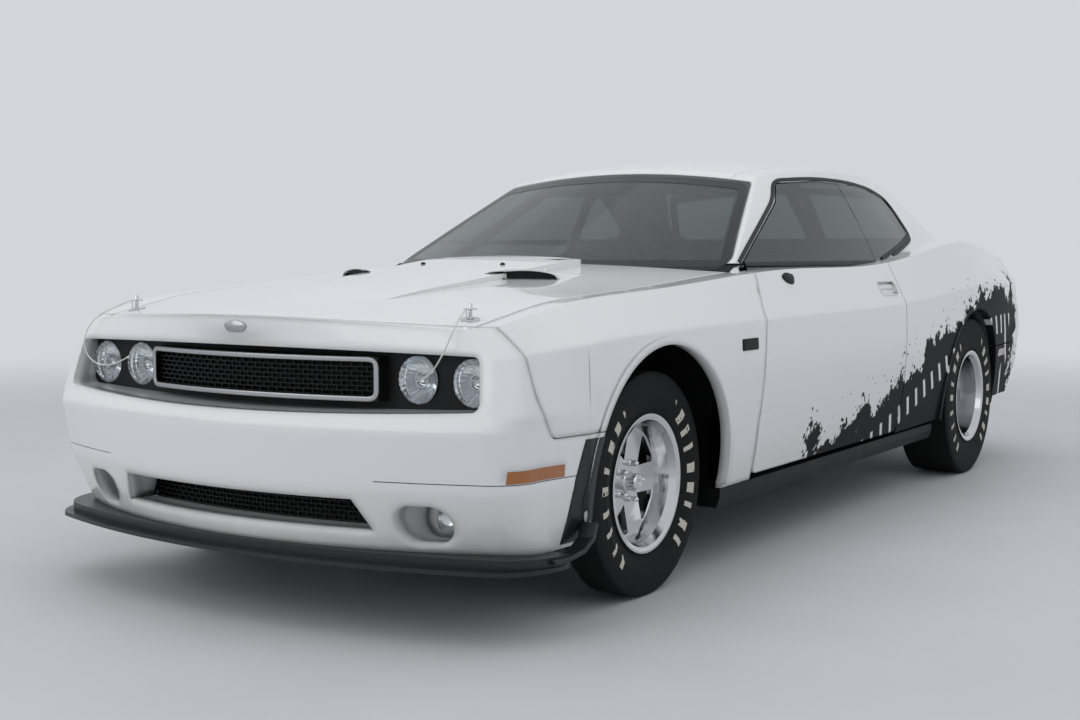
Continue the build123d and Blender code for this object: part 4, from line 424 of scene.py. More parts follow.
# %% [markdown]
# The dark trim and the plain metals share one recipe with their own grain. The grille,
# cowl and lamp panel are moulded ABS with a fine spark-eroded grain of about 0.5 mm,
# drawn here at 2 mm so that it shows. The chin blade is a satin composite, scuffed by
# the road. Undercarriage steel is sprayed satin black, a little uneven.

# %% Plastics, steels and castings
UNEVEN = 0.1


def grained(name, colour, roughness, per_metre, depth, **sockets):
    """A moulded or sprayed surface: fine grain as bump, slow patches as roughness."""
    mat, place = substance(name, colour, roughness, **sockets)
    grain = add(mat, "TexNoise", {"Vector": place, "Scale": per_metre, "Detail": 2.0})
    bump = add(mat, "Bump", {"Height": grain, "Strength": 0.35, "Distance": depth})
    patches = add(mat, "TexNoise", {"Vector": place, "Scale": 9.0, "Detail": 4.0})
    varied = add(mat, "MapRange", {"Value": patches, "To Min": roughness - UNEVEN,
                                   "To Max": roughness + UNEVEN})
    connect(mat, Normal=bump, Roughness=varied)
    return mat


black_plastic = grained("black ABS, moulded with a fine grain", "#0A0A0B", 0.5, 500.0,
                        0.0003, Specular_IOR_Level=0.25)
composite = grained("grey-black composite, moulded and scuffed", "#141517", 0.34, 240.0, 0.0004)
black_steel = grained("steel, sprayed satin black", "#121213", 0.55, 160.0, 0.0004)
floor_steel = grained("steel floor, undersealed black", "#0E0E0E", 0.75, 220.0, 0.001)
cast_metal = grained("aluminium alloy, sand cast", "#8B8C8E", 0.55, 350.0, 0.0006, Metallic=1.0)
dash_plastic = grained("dashboard vinyl, leather grained", "#141415", 0.6, 420.0, 0.0004)
rim_leather = grained("leather, stitched on the steering wheel", "#161515", 0.55, 380.0, 0.0005)
core = grained("aluminium radiator core, brazed fins", "#6E7072", 0.5, 350.0, 0.0005,
               Metallic=1.0)
rubber_seal = grained("rubber seal, extruded", "#0B0B0C", 0.5, 300.0, 0.0002)
dress(black_plastic, "cowl", "lamp_panel", "grilles", "sills", "fuel_cell")
dress(composite, "splitter")
dress(black_steel, "front_suspension", "rear_axle", "roll_cage", "knuckle_{}")
dress(floor_steel, "floor_pan", "rear_tubs", "frame_rails", "hinge_posts")
dress(cast_metal, "engine_block", "drive_line")
dress(core, "radiator")
dress(dash_plastic, "dashboard")
dress(rim_leather, "steering_wheel")
print("black trim and steels done")

# %% [markdown]
# Glass: the windows are laminated or toughened sheet with a green-grey tint, so the
# cabin shows dim behind their reflections. It is real glass in the shader, with its
# usual refractive index of 1.5, and each of its two faces passes the tint once.

# %% Window glass
glass, place = substance("tinted window glass, float made", "#87918F", 0.0, IOR=1.5,
                         Transmission_Weight=1.0)
film = add(glass, "TexNoise", {"Vector": place, "Scale": 6.0, "Detail": 5.0})
dusty = add(glass, "MapRange", {"Value": film, "From Min": 0.45, "From Max": 0.75,
                                "To Min": 0.0, "To Max": 0.02})
connect(glass, Roughness=dusty)
dress(glass, "fixed_glass", "door_glass_{}")
print("glass done")

# %% [markdown]
# The wheels are polished aluminium. Polishing leaves rings about the axle, which show
# as faint streaks in the reflections. The chrome of the hood pins and the satin steel
# of the exhaust are the same recipe with other roughness.

# %% Bright metals
def polished(name, colour, roughness, streak):
    """Metal with fine scratches: noise drawn out along X and Z lightens the gloss."""
    mat, place = substance(name, colour, roughness, Metallic=1.0)
    drawn = add(mat, "Mapping", {"Vector": place, "Scale": (4.0, 160.0, 4.0)})
    lines = add(mat, "TexNoise", {"Vector": drawn, "Scale": 3.0, "Detail": 6.0})
    varied = add(mat, "MapRange", {"Value": lines, "From Min": 0.3, "From Max": 0.7,
                                   "To Min": roughness, "To Max": roughness + streak})
    bump = add(mat, "Bump", {"Height": lines, "Strength": 0.05, "Distance": 0.0003})
    connect(mat, Roughness=varied, Normal=bump)
    return mat


alloy = polished("aluminium alloy, spun and polished", "#D4D5D7", 0.07, 0.12)
chrome = polished("steel, chromium plated", "#C9CBCE", 0.05, 0.08)
satin_metal = polished("zinc casting, satin chromed", "#A9ABAE", 0.26, 0.12)
pipe_steel = polished("stainless steel pipe", "#8E8A84", 0.3, 0.2)
dress(alloy, "rim_front_{}", "rim_rear_{}")
dress(chrome, "hood_pins")
dress(pipe_steel, "exhaust")
print("bright metals done")

# %% [markdown]
# The tyres are black rubber with pale printed marks in two arcs on each side wall. The
# marks are plain blocks of uneven width. Worn into the rubber are fine rings, which
# come from distance to the axle, so each axle's tyres have their own centre.

# %% Tyre rubber
WHEELS = {"front": (1.566, 0.336), "rear": (-1.38, 0.356)}
MARKS = {"front": (0.234, 0.284), "rear": (0.25, 0.3)}
MARKS_PER_TURN = 27.0
MARKS_FROM_X = 0.155
WEAR_RINGS = 900.0


def tyre_rubber(name, x, z, inner, outer):
    """Rubber with rings of wear and a printed mark ring centred on (x, z)."""
    mat, place = substance(name, "#0D0D0E", 0.75, Specular_IOR_Level=0.25)
    centred = add(mat, "Mapping", {"Vector": place, "Location": (-x, 0.0, -z)})
    along, _, up = add(mat, "SeparateXYZ", [centred]).outputs
    flat = add(mat, "CombineXYZ", {"X": along, "Y": up})
    radius = add(mat, "VectorMath", [flat], "LENGTH").outputs["Value"]
    angle = add(mat, "Math", [up, along], "ARCTAN2")
    turn = add(mat, "Math", [angle, MARKS_PER_TURN / (2 * math.pi)], "MULTIPLY")
    number = add(mat, "Math", [turn], "FLOOR")
    share = add(mat, "Math", [turn], "FRACT")
    chance = add(mat, "TexWhiteNoise", {"W": number}, noise_dimensions="1D")
    wide = add(mat, "MapRange", {"Value": chance, "To Min": 0.22, "To Max": 0.55})
    block = add(mat, "Math", [share, wide], "LESS_THAN")
    low = add(mat, "MapRange", {"Value": chance.outputs["Color"], "To Min": inner,
                                "To Max": inner + 0.35 * (outer - inner)})
    above = add(mat, "Math", [radius, low], "GREATER_THAN")
    under = add(mat, "Math", [radius, outer], "LESS_THAN")
    level = add(mat, "Math", [along], "ABSOLUTE")
    arcs = add(mat, "Math", [level, MARKS_FROM_X], "GREATER_THAN")
    wear = add(mat, "TexNoise", {"Vector": place, "Scale": 60.0, "Detail": 6.0})
    kept = add(mat, "Math", [wear, 0.36], "GREATER_THAN")
    printed = above
    for mask in (under, block, arcs, kept):
        printed = add(mat, "Math", [printed, mask], "MULTIPLY")
    base = add(mat, "ValToRGB", [wear], stops=[(0.3, "#0A0A0B"), (0.7, "#141415")])
    mixed = add(mat, "Mix", {0: printed, 6: base, 7: linear("#C9C5BA")}, data_type="RGBA")
    rings = add(mat, "Math", [radius, WEAR_RINGS], "MULTIPLY")
    wave = add(mat, "Math", [rings], "SINE")
    bump = add(mat, "Bump", {"Height": wave, "Strength": 0.25, "Distance": 0.0004})
    connect(mat, Base_Color=mixed.outputs[2], Normal=bump)
    return mat


for end in WHEELS:
    rubber = tyre_rubber(f"tyre rubber, moulded, {end} pair", *WHEELS[end], *MARKS[end])
    dress(rubber, f"tyre_{end}_{{}}")
print("tyres done")

# %% [markdown]
# Each wheel is held by five acorn nuts on a 114 mm circle, round a hub end with a cap.
# They are small turned parts, so each is a profile turned about the wheel's axle. All
# the nuts and the cap of one wheel are one piece, which rolls with it.

# %% Wheel nuts and hub caps
STUD_FACE_Y = 0.774
STUD_CIRCLE = 0.057
NUT = [(-0.001, 0.0), (-0.001, 0.0115), (0.002, 0.0115), (0.004, 0.0095), (0.018, 0.0095),
       (0.024, 0.0072), (0.0275, 0.003), (0.028, 0.0)]
CAP = [(-0.001, 0.0), (-0.001, 0.033), (0.004, 0.033), (0.007, 0.0275), (0.036, 0.0268),
       (0.040, 0.023), (0.040, 0.010), (0.037, 0.008), (0.037, 0.0)]

for end, (x, z) in WHEELS.items():
    angles = np.radians(36 + 72 * np.arange(5))
    parts = [turned(CAP, (x, STUD_FACE_Y, z), (0, 1, 0), 40)]
    for a in angles:
        place = (x + STUD_CIRCLE * math.cos(a), STUD_FACE_Y, z + STUD_CIRCLE * math.sin(a))
        parts.append(turned(NUT, place, (0, 1, 0), 12))
    pair(f"wheel_nuts_{end}", parts, alloy, f"wheel_{end}_{{}}")
print("nuts on four wheels")

# %% [markdown]
# A headlamp is a bright reflector bowl with a bulb shield, behind a clear domed lens.
# The CAD lamp is one solid of the right outline, which real glass would show as a block,
# so it is replaced: bowl, shield and lens are each a turned profile along the car's
# length. The bowl's flutes, which spread the beam, are a ripple of its radius.

# %% Headlamps and fog lamps
lens_plastic, place = substance("polycarbonate lens, moulded clear", "#F4F6F7", 0.02, IOR=1.58,
                                Transmission_Weight=1.0)
haze = add(lens_plastic, "TexNoise", {"Vector": place, "Scale": 30.0, "Detail": 3.0})
worn = add(lens_plastic, "MapRange", {"Value": haze, "To Min": 0.0, "To Max": 0.06})
connect(lens_plastic, Roughness=worn)
reflector = polished("reflector, vacuum aluminised", "#E3E6E9", 0.04, 0.05)

LAMP_FACE_X, LAMP_BOW_RADIUS = 2.290, 6.7
FLUTE_DEPTH, FLUTES = 0.014, 24
HEADLAMPS = [(0.698, 0.680), (0.528, 0.682)]
LENS_DOME = [(0.016, 0.0), (0.0155, 0.015), (0.0132, 0.034), (0.009, 0.052), (0.0045, 0.064),
             (0.0005, 0.067), (0.0005, 0.0615), (0.006, 0.05), (0.0102, 0.033),
             (0.0125, 0.015), (0.013, 0.0)]
BOWL = [(-0.003, 0.0612), (-0.006, 0.058), (-0.020, 0.0535), (-0.036, 0.0445),
        (-0.048, 0.032), (-0.054, 0.018), (-0.055, 0.012), (-0.060, 0.012),
        (-0.060, 0.022), (-0.050, 0.038), (-0.034, 0.051), (-0.020, 0.0612),
        (-0.003, 0.0612)]
SHIELD = [(-0.056, 0.0), (-0.056, 0.014), (-0.040, 0.016), (-0.022, 0.0225), (-0.018, 0.0225),
          (-0.018, 0.0195), (-0.026, 0.017), (-0.030, 0.0)]
BULB = [(-0.031, 0.0), (-0.029, 0.014), (-0.024, 0.0135), (-0.020, 0.009), (-0.0185, 0.0)]


def lamp_x(y):
    """Where the lamp panel's bowed face stands: it falls back by y^2 / (2 radius)."""
    return LAMP_FACE_X - y * y / (2 * LAMP_BOW_RADIUS)


bowls, lenses, shields, bulbs = [], [], [], []
for y, z in HEADLAMPS:
    place = (lamp_x(y), y, z)
    for parts, part in ((bowls, turned(BOWL, place, (1, 0, 0), 96, FLUTE_DEPTH, FLUTES)),
                        (lenses, turned(LENS_DOME, place, (1, 0, 0), 64)),
                        (shields, turned(SHIELD, place, (1, 0, 0), 40)),
                        (bulbs, turned(BULB, place, (1, 0, 0), 32))):
        parts += both(part)

FOG_PLACE = (2.2353, 0.629, 0.312)
FOG_LENS = [(0.040, 0.0), (0.039, 0.014), (0.036, 0.028), (0.030, 0.0415), (0.026, 0.0415),
            (0.033, 0.027), (0.036, 0.013), (0.037, 0.0)]
FOG_BOWL = [(0.029, 0.0415), (0.022, 0.037), (0.012, 0.028), (0.006, 0.012), (0.005, 0.0),
            (0.0003, 0.0), (0.0003, 0.0418), (0.024, 0.0418), (0.029, 0.0415)]
fog_lens, fog_bowl = (turned(p, FOG_PLACE, (1, 0, 0), 48) for p in (FOG_LENS, FOG_BOWL))
lenses += both(fog_lens)
bowls += both(fog_bowl)
lamp_pieces = [piece("lamp_reflectors", bowls, reflector, "body"),
               piece("lamp_lenses", lenses, lens_plastic, "body"),
               piece("lamp_bulb_shields", shields, chrome, "body"),
               piece("lamp_bulbs", bulbs, lens_plastic, "body")]
print("lamps:", len(bowls), "bowls")

# %% [markdown]
# The side markers are flush blocks of coloured acrylic, amber in front and red behind.
# Their faces follow the body's skin, which the CAD solid has exactly, so each pair is a
# merged copy of the CAD faces there. Behind the smooth face are fine ribs, drawn as a
# bump 3 mm apart.

# %% Side markers and tail lamps
def acrylic(name, deep, bright, ribs_per_metre, axis):
    """Coloured lens plastic whose ribs run across one axis."""
    mat, place = substance(name, bright, 0.12, Coat_Weight=1.0, Coat_Roughness=0.03, IOR=1.49)
    along = add(mat, "SeparateXYZ", [place]).outputs[axis]
    phase = add(mat, "Math", [along, ribs_per_metre * 2 * math.pi], "MULTIPLY")
    rib = add(mat, "Math", [phase], "SINE")
    shade = add(mat, "ValToRGB", [rib], stops=[(0.0, deep), (1.0, bright)])
    bump = add(mat, "Bump", {"Height": rib, "Strength": 0.3, "Distance": 0.0008})
    connect(mat, Base_Color=shade, Normal=bump)
    return mat


COPY_LIFT = 0.0006


def copied(name, node, wanted, mat, body):
    """A merged copy of the CAD faces whose middle points satisfy wanted(x, y, z)."""
    place, corners = arrays(nodes[node].data)
    corners = corners.reshape(-1, 3)
    keep = wanted(*place[corners].mean(1).T)
    points = place[corners[keep]].reshape(-1, 3)
    points = points + np.sign(points) * (0.0, COPY_LIFT, 0.0)
    faces = np.arange(len(points)).reshape(-1, 3)
    return piece(name, [(points, faces)], mat, body, sharp=25.0)


amber = acrylic("acrylic lens, amber", "#8A4A0C", "#C97812", 330.0, "X")
red = acrylic("acrylic lens, red", "#5A0A0C", "#A3161A", 330.0, "X")
tail_red = acrylic("acrylic tail lamp, deep red", "#3A0507", "#8E1216", 60.0, "Y")
lamp_pieces += [
    copied("side_markers_front", "lamps",
           lambda x, y, z: (x > 2.0) & (abs(y) > 0.8) & (z < 0.5), amber, "body"),
    copied("side_markers_rear", "lamps", lambda x, y, z: x < 0, red, "body")]
for made in lamp_pieces:
    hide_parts("lamps")
dress(tail_red, "tail_lamps")
print("markers and tail lamps done")

# %% [markdown]
# Seals, badges and frames lie on the curved skin. Their outlines are drawn in side or
# end view, and rays cast square to that view find the skin's height and its normal, as
# a trimmer would lay tape on the metal.

# %% Laying pieces on the skin
FAR = 3.5
VIEWS = {"side": (1, FAR), "front": (0, FAR), "rear": (0, -FAR), "top": (2, FAR)}


def skin(*names):
    """A tree of these CAD nodes' triangles, to cast rays at."""
    points, faces, start = [], [], 0
    for name in names:
        place, corners = arrays(nodes[name].data)
        points.append(place)
        faces.append(corners.reshape(-1, 3) + start)
        start += len(place)
    return BVHTree.FromPolygons(np.concatenate(points).tolist(),
                                np.concatenate(faces).tolist())


def laid(tree, view, a, b):
    """Where rays square to a view meet the skin, its outward normals, and which met.

    a and b are the two coordinates that the view shows, in the order x, y, z. A ray
    that meets nothing takes the place of its nearest neighbour that did.
    """
    axis, far = VIEWS[view]
    starts = np.insert(np.stack(np.broadcast_arrays(a, b), 1), axis, far, axis=1)
    direction = -np.sign(far) * np.eye(3)[axis]
    hits = [tree.ray_cast(start, direction) for start in starts.tolist()]
    met = np.array([hit[0] is not None for hit in hits])
    found = np.flatnonzero(met)
    near = found[np.abs(np.arange(len(hits))[:, None] - found[None]).argmin(1)]
    places = np.array([hits[k][0] for k in near])
    normals = np.array([hits[k][1] for k in near])
    outward = np.where(normals @ direction < 0, 1.0, -1.0)
    return places, normals * outward[:, None], met


def outline(corners, step=0.012):
    """A closed outline from (a, b, radius) corners, evenly spaced.

    Each corner is a quadratic curve from radius before it to radius after it, with the
    corner as its control point: (1-t)^2 p + 2t(1-t) c + t^2 q.
    """
    corners = [(np.array(c[:2], float), c[2]) for c in corners]
    points = []
    for k, (c, radius) in enumerate(corners):
        before, after = corners[k - 1][0], corners[(k + 1) % len(corners)][0]
        reach = min(radius, 0.45 * np.linalg.norm(before - c), 0.45 * np.linalg.norm(after - c))
        p, q = c + unit(before - c) * reach, c + unit(after - c) * reach
        t = np.linspace(0, 1, 9)[:, None]
        points.append((1 - t) ** 2 * p + 2 * t * (1 - t) * c + t ** 2 * q)
    points = np.concatenate(points)
    points = np.concatenate([points, points[:1]])
    run = np.concatenate([[0], np.cumsum(np.linalg.norm(np.diff(points, axis=0), axis=1))])
    even = np.linspace(0, run[-1], max(int(run[-1] / step), 12), endpoint=False)
    return np.stack([np.interp(even, run, points[:, k]) for k in (0, 1)], 1)


def offset(points, distance):
    """A closed outline moved sideways: each point along the square to its neighbours."""
    along = unit(np.roll(points, -1, 0) - np.roll(points, 1, 0))
    square = np.stack([along[:, 1], -along[:, 0]], 1)
    turning = np.sum(points[:, 0] * np.roll(points[:, 1], -1)
                     - np.roll(points[:, 0], -1) * points[:, 1])
    return points + square * distance * np.sign(turning)


print("laying helpers ready")

# %% [markdown]
# The side windows are edged with a black rubber seal, about 16 mm wide. Over the door
# it stays on the body, and along the door's top edge a second strip moves with the
# door. Round the windshield and the rear window the black edge is ceramic paint fired
# onto the glass, a thin ring without any height.

# %% Window seals and painted glass edges
SIDE_WINDOW = [(0.735, 0.962, 0.02), (0.540, 1.052, 0.15), (0.190, 1.208, 0.12),
               (0.080, 1.286, 0.06), (-0.240, 1.306, 0.15), (-0.570, 1.300, 0.15),
               (-0.800, 1.278, 0.1), (-0.950, 1.240, 0.05), (-1.010, 1.085, 0.03),
               (-0.900, 1.058, 0.06), (-0.560, 0.990, 0.1), (-0.424, 0.966, 0.02)]
SEAL_WIDTH, SEAL_HEIGHT, SEAL_SUNK = 0.016, 0.006, 0.001
LOW_SEAL, LOW_SEAL_CLEAR = rounded_bar(0.018, 0.005, 0.002), 0.0005
BELT_Z, BELT_FRONT_X, BELT_REAR_X = 0.976, 0.700, -0.418
SILL_TOP_Z, DOOR_END_X = 0.975, -0.430
CABIN_HALF = 0.80

window = outline(SIDE_WINDOW)
upper = window[~((window[:, 1] < SILL_TOP_Z) & (window[:, 0] > DOOR_END_X))]
start = np.argmax(np.linalg.norm(np.diff(upper, axis=0, append=upper[:1]), axis=1)) + 1
upper = np.roll(upper, -start, axis=0)
outside = offset(window, SEAL_WIDTH / 2 + SEAL_SUNK)
outside = np.array([outside[np.argmin(np.linalg.norm(window - p, axis=1))] for p in upper])
cabin_skin = skin("quarter_left", "fixed_glass", "roof")
place, normal, met = laid(cabin_skin, "side", *outside.T)
cabin_side = met & (place[:, 1] < CABIN_HALF)
seal = carried((place - SEAL_SUNK * normal)[cabin_side], normal[cabin_side],
               rounded_bar(SEAL_WIDTH, SEAL_HEIGHT, 0.0025))
pair("window_seal", [seal], rubber_seal, "body")

belt_x = np.linspace(BELT_FRONT_X, BELT_REAR_X, 60)
place, normal, met = laid(skin("door_glass_left"), "side", belt_x, BELT_Z)
belt = carried((place + LOW_SEAL_CLEAR * normal)[met], normal[met], LOW_SEAL)
pair("door_belt_seal", [belt], rubber_seal, "door_{}")

# The quarter window's foot lies below a line that rises towards the rear.
inside = offset(window, -0.007)
low = (window[:, 0] < -0.432) & (window[:, 1] < 1.00 - 0.21 * (window[:, 0] + 0.60))
low_line = inside[low][np.argsort(inside[low][:, 0])]
place, normal, met = laid(skin("fixed_glass"), "side", *low_line.T)
under = carried((place + LOW_SEAL_CLEAR * normal)[met], normal[met], LOW_SEAL)
pair("quarter_window_seal", [under], rubber_seal, "body")
print("seals:", len(upper), "and", int(low.sum()), "points")

ceramic = grained("black ceramic paint, fired on glass", "#08090A", 0.18, 300.0, 0.0001)
WINDSHIELD = [(-0.728, 0.962, 0.03), (0.728, 0.962, 0.03), (0.546, 1.284, 0.04),
              (0.28, 1.3155, 0.2), (0.0, 1.326, 0.2), (-0.28, 1.3155, 0.2),
              (-0.546, 1.284, 0.04)]
REAR_WINDOW = [(-0.690, 1.040, 0.03), (0.690, 1.040, 0.03), (0.540, 1.296, 0.04),
               (0.28, 1.3215, 0.2), (0.0, 1.330, 0.2), (-0.28, 1.3215, 0.2),
               (-0.540, 1.296, 0.04)]
BANDS = [("windshield", WINDSHIELD, "front", (-0.006, -0.030)),
         ("rear_window", REAR_WINDOW, "rear", (-0.006, -0.040))]
PAINT_FACE, PAINT_THICKNESS = 0.0008, 0.0006
panes = skin("fixed_glass")
for name, corners, view, (near_edge, far_edge) in BANDS:
    line = outline(corners, 0.02)
    rows = []
    for distance in np.linspace(near_edge, far_edge, 4):
        place, normal, _ = laid(panes, view, *offset(line, distance).T)
        rows.append(place + PAINT_FACE * normal)
    low = [row - PAINT_THICKNESS * normal for row in rows]
    piece(f"{name}_edge", [surface(np.array(rows + low[::-1]), True, True)], ceramic, "body")
print("glass edges done")

# %% [markdown]
# Small fittings: the bright frame round the grille, a blank badge plate on the header,
# a blank plate on each fender and the plug where a mirror would stand. Each is an
# outline or a bar laid on its panel.

# %% Grille frame and plates
def plate(corners, tree, view, height, crown, step=0.004):
    """A low plate laid on the skin: rings of its outline shrink towards the middle.

    The outline is drawn in one of the VIEWS. The height at share s of the way in is
    height + crown * s * (2 - s).
    """
    line = outline(corners, step)
    middle = line.mean(0)
    rows = []
    for share, lift in ((0.0, -0.002), (0.0, 0.6), (0.04, 1.0), (0.35, 1.0), (0.7, 1.0),
                        (1.0, 1.0)):
        place, normal, met = laid(tree, view, *(line + (middle - line) * share).T)
        if not met.all():
            print("outline over its panel's edge:", (~met).sum(), "of", len(met), "rays")
        out = lift if lift < 0 else lift * (height + crown * share * (2 - share))
        rows.append(place + out * normal)
    low = np.repeat(rows[0].mean(0)[None, None], len(line), 1)
    return surface(np.concatenate([low, np.array(rows)]), close_v=True)


GRILLE_FRAME = [(-0.430, 0.622, 0.03), (0.430, 0.622, 0.03), (0.430, 0.742, 0.03),
                (-0.430, 0.742, 0.03)]
FRAME_FACE_X, FRAME_BOW_RADIUS = 2.3715, 1.5

line = offset(outline(GRILLE_FRAME, 0.006), -0.0065)
y, z = line.T
place = np.stack([FRAME_FACE_X - y ** 2 / (2 * FRAME_BOW_RADIUS), y, z], 1)
normal = unit(np.stack([np.ones(len(y)), y / FRAME_BOW_RADIUS, np.zeros(len(y))], 1))
frame_ring = carried(place, normal, rounded_bar(0.015, 0.009, 0.004, 6), closed=True)
piece("grille_frame", [frame_ring], satin_metal, "body")

nose_skin = skin("front_fascia")
badge = plate([(-0.030, 0.800, 0.02), (0.030, 0.800, 0.02), (0.046, 0.822, 0.02),
               (0.0, 0.838, 0.03), (-0.046, 0.822, 0.02)], nose_skin, "front", 0.004, 0.005)
piece("header_plate", [badge], satin_metal, "body")

fender_skin, door_skin = skin("fender_left"), skin("door_left")
side_plate = plate([(1.000, 0.707, 0.004), (1.115, 0.707, 0.004), (1.115, 0.745, 0.004),
                    (1.000, 0.745, 0.004)], fender_skin, "side", 0.003, 0.0)
plug = plate([(0.555, 0.940, 0.02), (0.585, 0.905, 0.02), (0.640, 0.915, 0.02),
              (0.660, 0.935, 0.02), (0.620, 0.950, 0.02)], door_skin, "side", 0.004, 0.004)
pair("fender_plate", [side_plate], black_plastic, "body")
pair("mirror_plug", [plug], black_plastic, "door_{}")
print("frame and plates done")

# %% [markdown]
# A door handle is a white bezel round a dished hollow, with a grip across it. Both bars
# follow the door's skin.

# %% Door handles
x0, x1, z0, z1 = -0.385, -0.215, 0.852, 0.898
rim = outline([(x0, z0, 0.022), (x1, z0, 0.022), (x1, z1, 0.022), (x0, z1, 0.022)], 0.006)
place, normal, _ = laid(door_skin, "side", *offset(rim, 0.004).T)
bezel = carried(place - 0.002 * normal, normal, rounded_bar(0.007, 0.005, 0.002), closed=True)
grip_x = np.linspace(x0 + 0.004, x1 - 0.004, 24)
place, normal, _ = laid(door_skin, "side", grip_x, z1 + 0.012)
place[:, 2] = (z0 + z1) / 2 + 0.006
grip = carried(place - 0.004 * normal, normal, rounded_bar(0.022, 0.009, 0.004, 6))
pair("door_handle", [bezel, grip], white_paint, "door_{}")
print("handles done")

# %% [markdown]
# The hood has two slanted air scoops ahead of the windshield, black in the mouth. Each
# cover rises from the skin and fades back into it, which a cosine does smoothly.

# %% Hood scoops
SCOOP_ROUND = 0.35
hood_skin = skin("hood")


def scoop(y0, y1, x0, x1, top, length, steps=24):
    """A scoop's cover and mouth over the hood between y0 and y1.

    At share u across and v back, the cover stands at skin + (top - skin) * sin(pi u)^r
    * (1 + cos(pi v)) / 2, where it is above the skin, and r is SCOOP_ROUND. The mouth is
    the wall under its edge.
    """
    u, v = np.linspace(0, 1, steps), np.linspace(0, 1, 12)
    v, u = np.meshgrid(v, u, indexing="ij")
    x = x0 + (x1 - x0) * u - length * v
    y = y0 + (y1 - y0) * u
    base, _, _ = laid(hood_skin, "top", x.ravel(), y.ravel())
    base = base.reshape(*x.shape, 3)
    rise = np.maximum(top - base[:, :, 2], 0.0)
    rise = rise * np.sin(np.pi * np.clip(u, 0, 1)) ** SCOOP_ROUND * (1 + np.cos(np.pi * v)) / 2
    cover = base + np.stack([np.zeros_like(rise), np.zeros_like(rise), rise - 0.0006], -1)
    lip = cover[0] + (0.003, 0.0, -0.0035)
    back = cover[0] + (-0.012, 0.0, -0.0045)
    foot = base[0] + (-0.012, 0.0, -0.002)
    front = base[0] + (0.010, 0.0, 0.0006)
    return (surface(np.concatenate([[back], [lip], cover])),
            surface(np.array([back, foot, front])))


cover, mouth = scoop(0.235, 0.445, 1.530, 1.430, 0.966, 0.22)
piece("hood_scoop_covers", both(cover), white_paint, "hood")
piece("hood_scoop_mouths", both(mouth), black_plastic, "hood")
print("scoops done")

# %% [markdown]
# A black moulded edge runs up the front of each front arch and joins the chin blade, and
# the blade's ends turn up towards it. Behind the lower mouth sits the black duct to the
# radiator. The hood pins stand on short posts, and two washer jets on the hood.

# %% Arch edges, duct, pin posts and jets
ARCH_CENTRE, ARCH_RADIUS = (1.576, 0.345), 0.408
BAND_ROWS, BAND_HEIGHT = 26, 0.003
BAND_Z = np.linspace(0.236, 0.534, BAND_ROWS)
band_front = np.interp(BAND_Z, (0.236, 0.309, 0.416, 0.534), (2.094, 2.072, 2.056, 2.020))
band_rear = (ARCH_CENTRE[0] + 0.003
             + np.sqrt(ARCH_RADIUS ** 2 - (BAND_Z - ARCH_CENTRE[1]) ** 2))
columns = []
shares = [0.0, 0.0, *np.linspace(0.04, 0.96, 14), 1.0, 1.0]
lifts = [-BAND_HEIGHT, 0.002, *[BAND_HEIGHT] * 14, 0.002, -BAND_HEIGHT]
for share, lift in zip(shares, lifts):
    x = band_rear + (band_front - band_rear) * share
    place, normal, _ = laid(nose_skin, "side", x, BAND_Z)
    tucked = np.full(BAND_ROWS, lift)
    tucked[[0, -1]] = -BAND_HEIGHT
    columns.append(place + tucked[:, None] * normal)
wrap_in, wrap_out = columns[1] + (-0.006, -0.030, 0.0), columns[1] + (-0.006, 0.001, 0.0)
edge_plate = surface(np.array([wrap_in, wrap_out, *columns[1:]]), close_u=True)
blade_end = [(2.200, 0.896, 0.214), (2.130, 0.904, 0.216), (2.070, 0.908, 0.226),
             (2.025, 0.908, 0.250), (2.000, 0.903, 0.290)]
t = np.linspace(0, 1, 25)
blade_path = np.stack([np.interp(t, np.linspace(0, 1, len(blade_end)), column)
                       for column in np.array(blade_end).T], 1)
blade_up = np.tile((0.25, 0.0, 1.0), (len(t), 1))
blade = carried(blade_path, blade_up, rounded_bar(0.050, 0.012, 0.005, 6))
piece("arch_edges", both(edge_plate), composite, "body")
piece("blade_ends", both(blade), composite, "body")

line = outline([(-0.472, 0.284, 0.02), (0.472, 0.284, 0.02), (0.430, 0.377, 0.02),
                (-0.430, 0.377, 0.02)], 0.02)
DUCT_BACK_X, DUCT_FRONT_X, DUCT_BOW_RADIUS = 2.330, 2.335, 2.0
rings = []
for x, shares in ((DUCT_BACK_X, (1.0, 0.5, 0.0)), (DUCT_FRONT_X, (0.0, 0.5, 1.0))):
    for share in shares:
        y, z = (line * (1 - share) + line.mean(0) * share).T
        rings.append(np.stack([x - y ** 2 / (2 * DUCT_BOW_RADIUS), y, z], 1))
piece("mouth_duct", [surface(np.array(rings), close_v=True)], black_plastic, "body")

PIN = [(0.0, 0.0), (0.0, 0.0056), (0.044, 0.0056), (0.048, 0.0042), (0.049, 0.0)]
WASHER = [(-0.002, 0.0), (-0.002, 0.009), (0.003, 0.008), (0.006, 0.004), (0.006, 0.0)]
pins = [turned(PIN, (2.187, way * 0.642, 0.8385), (0, 0, 1), 20) for way in (1, -1)]
piece("hood_pin_posts", pins, chrome, "body")
jets = [turned(WASHER, (1.335, way * 0.165, 0.9795), (0.1, 0, 1), 20) for way in (1, -1)]
piece("washer_jets", jets, black_plastic, "hood")
print("edges, duct, pins and jets done")

# %% [markdown]
# At the back, a black moulded surround holds the full-width tail lamp. It is laid on the
# skin by rays cast forwards.

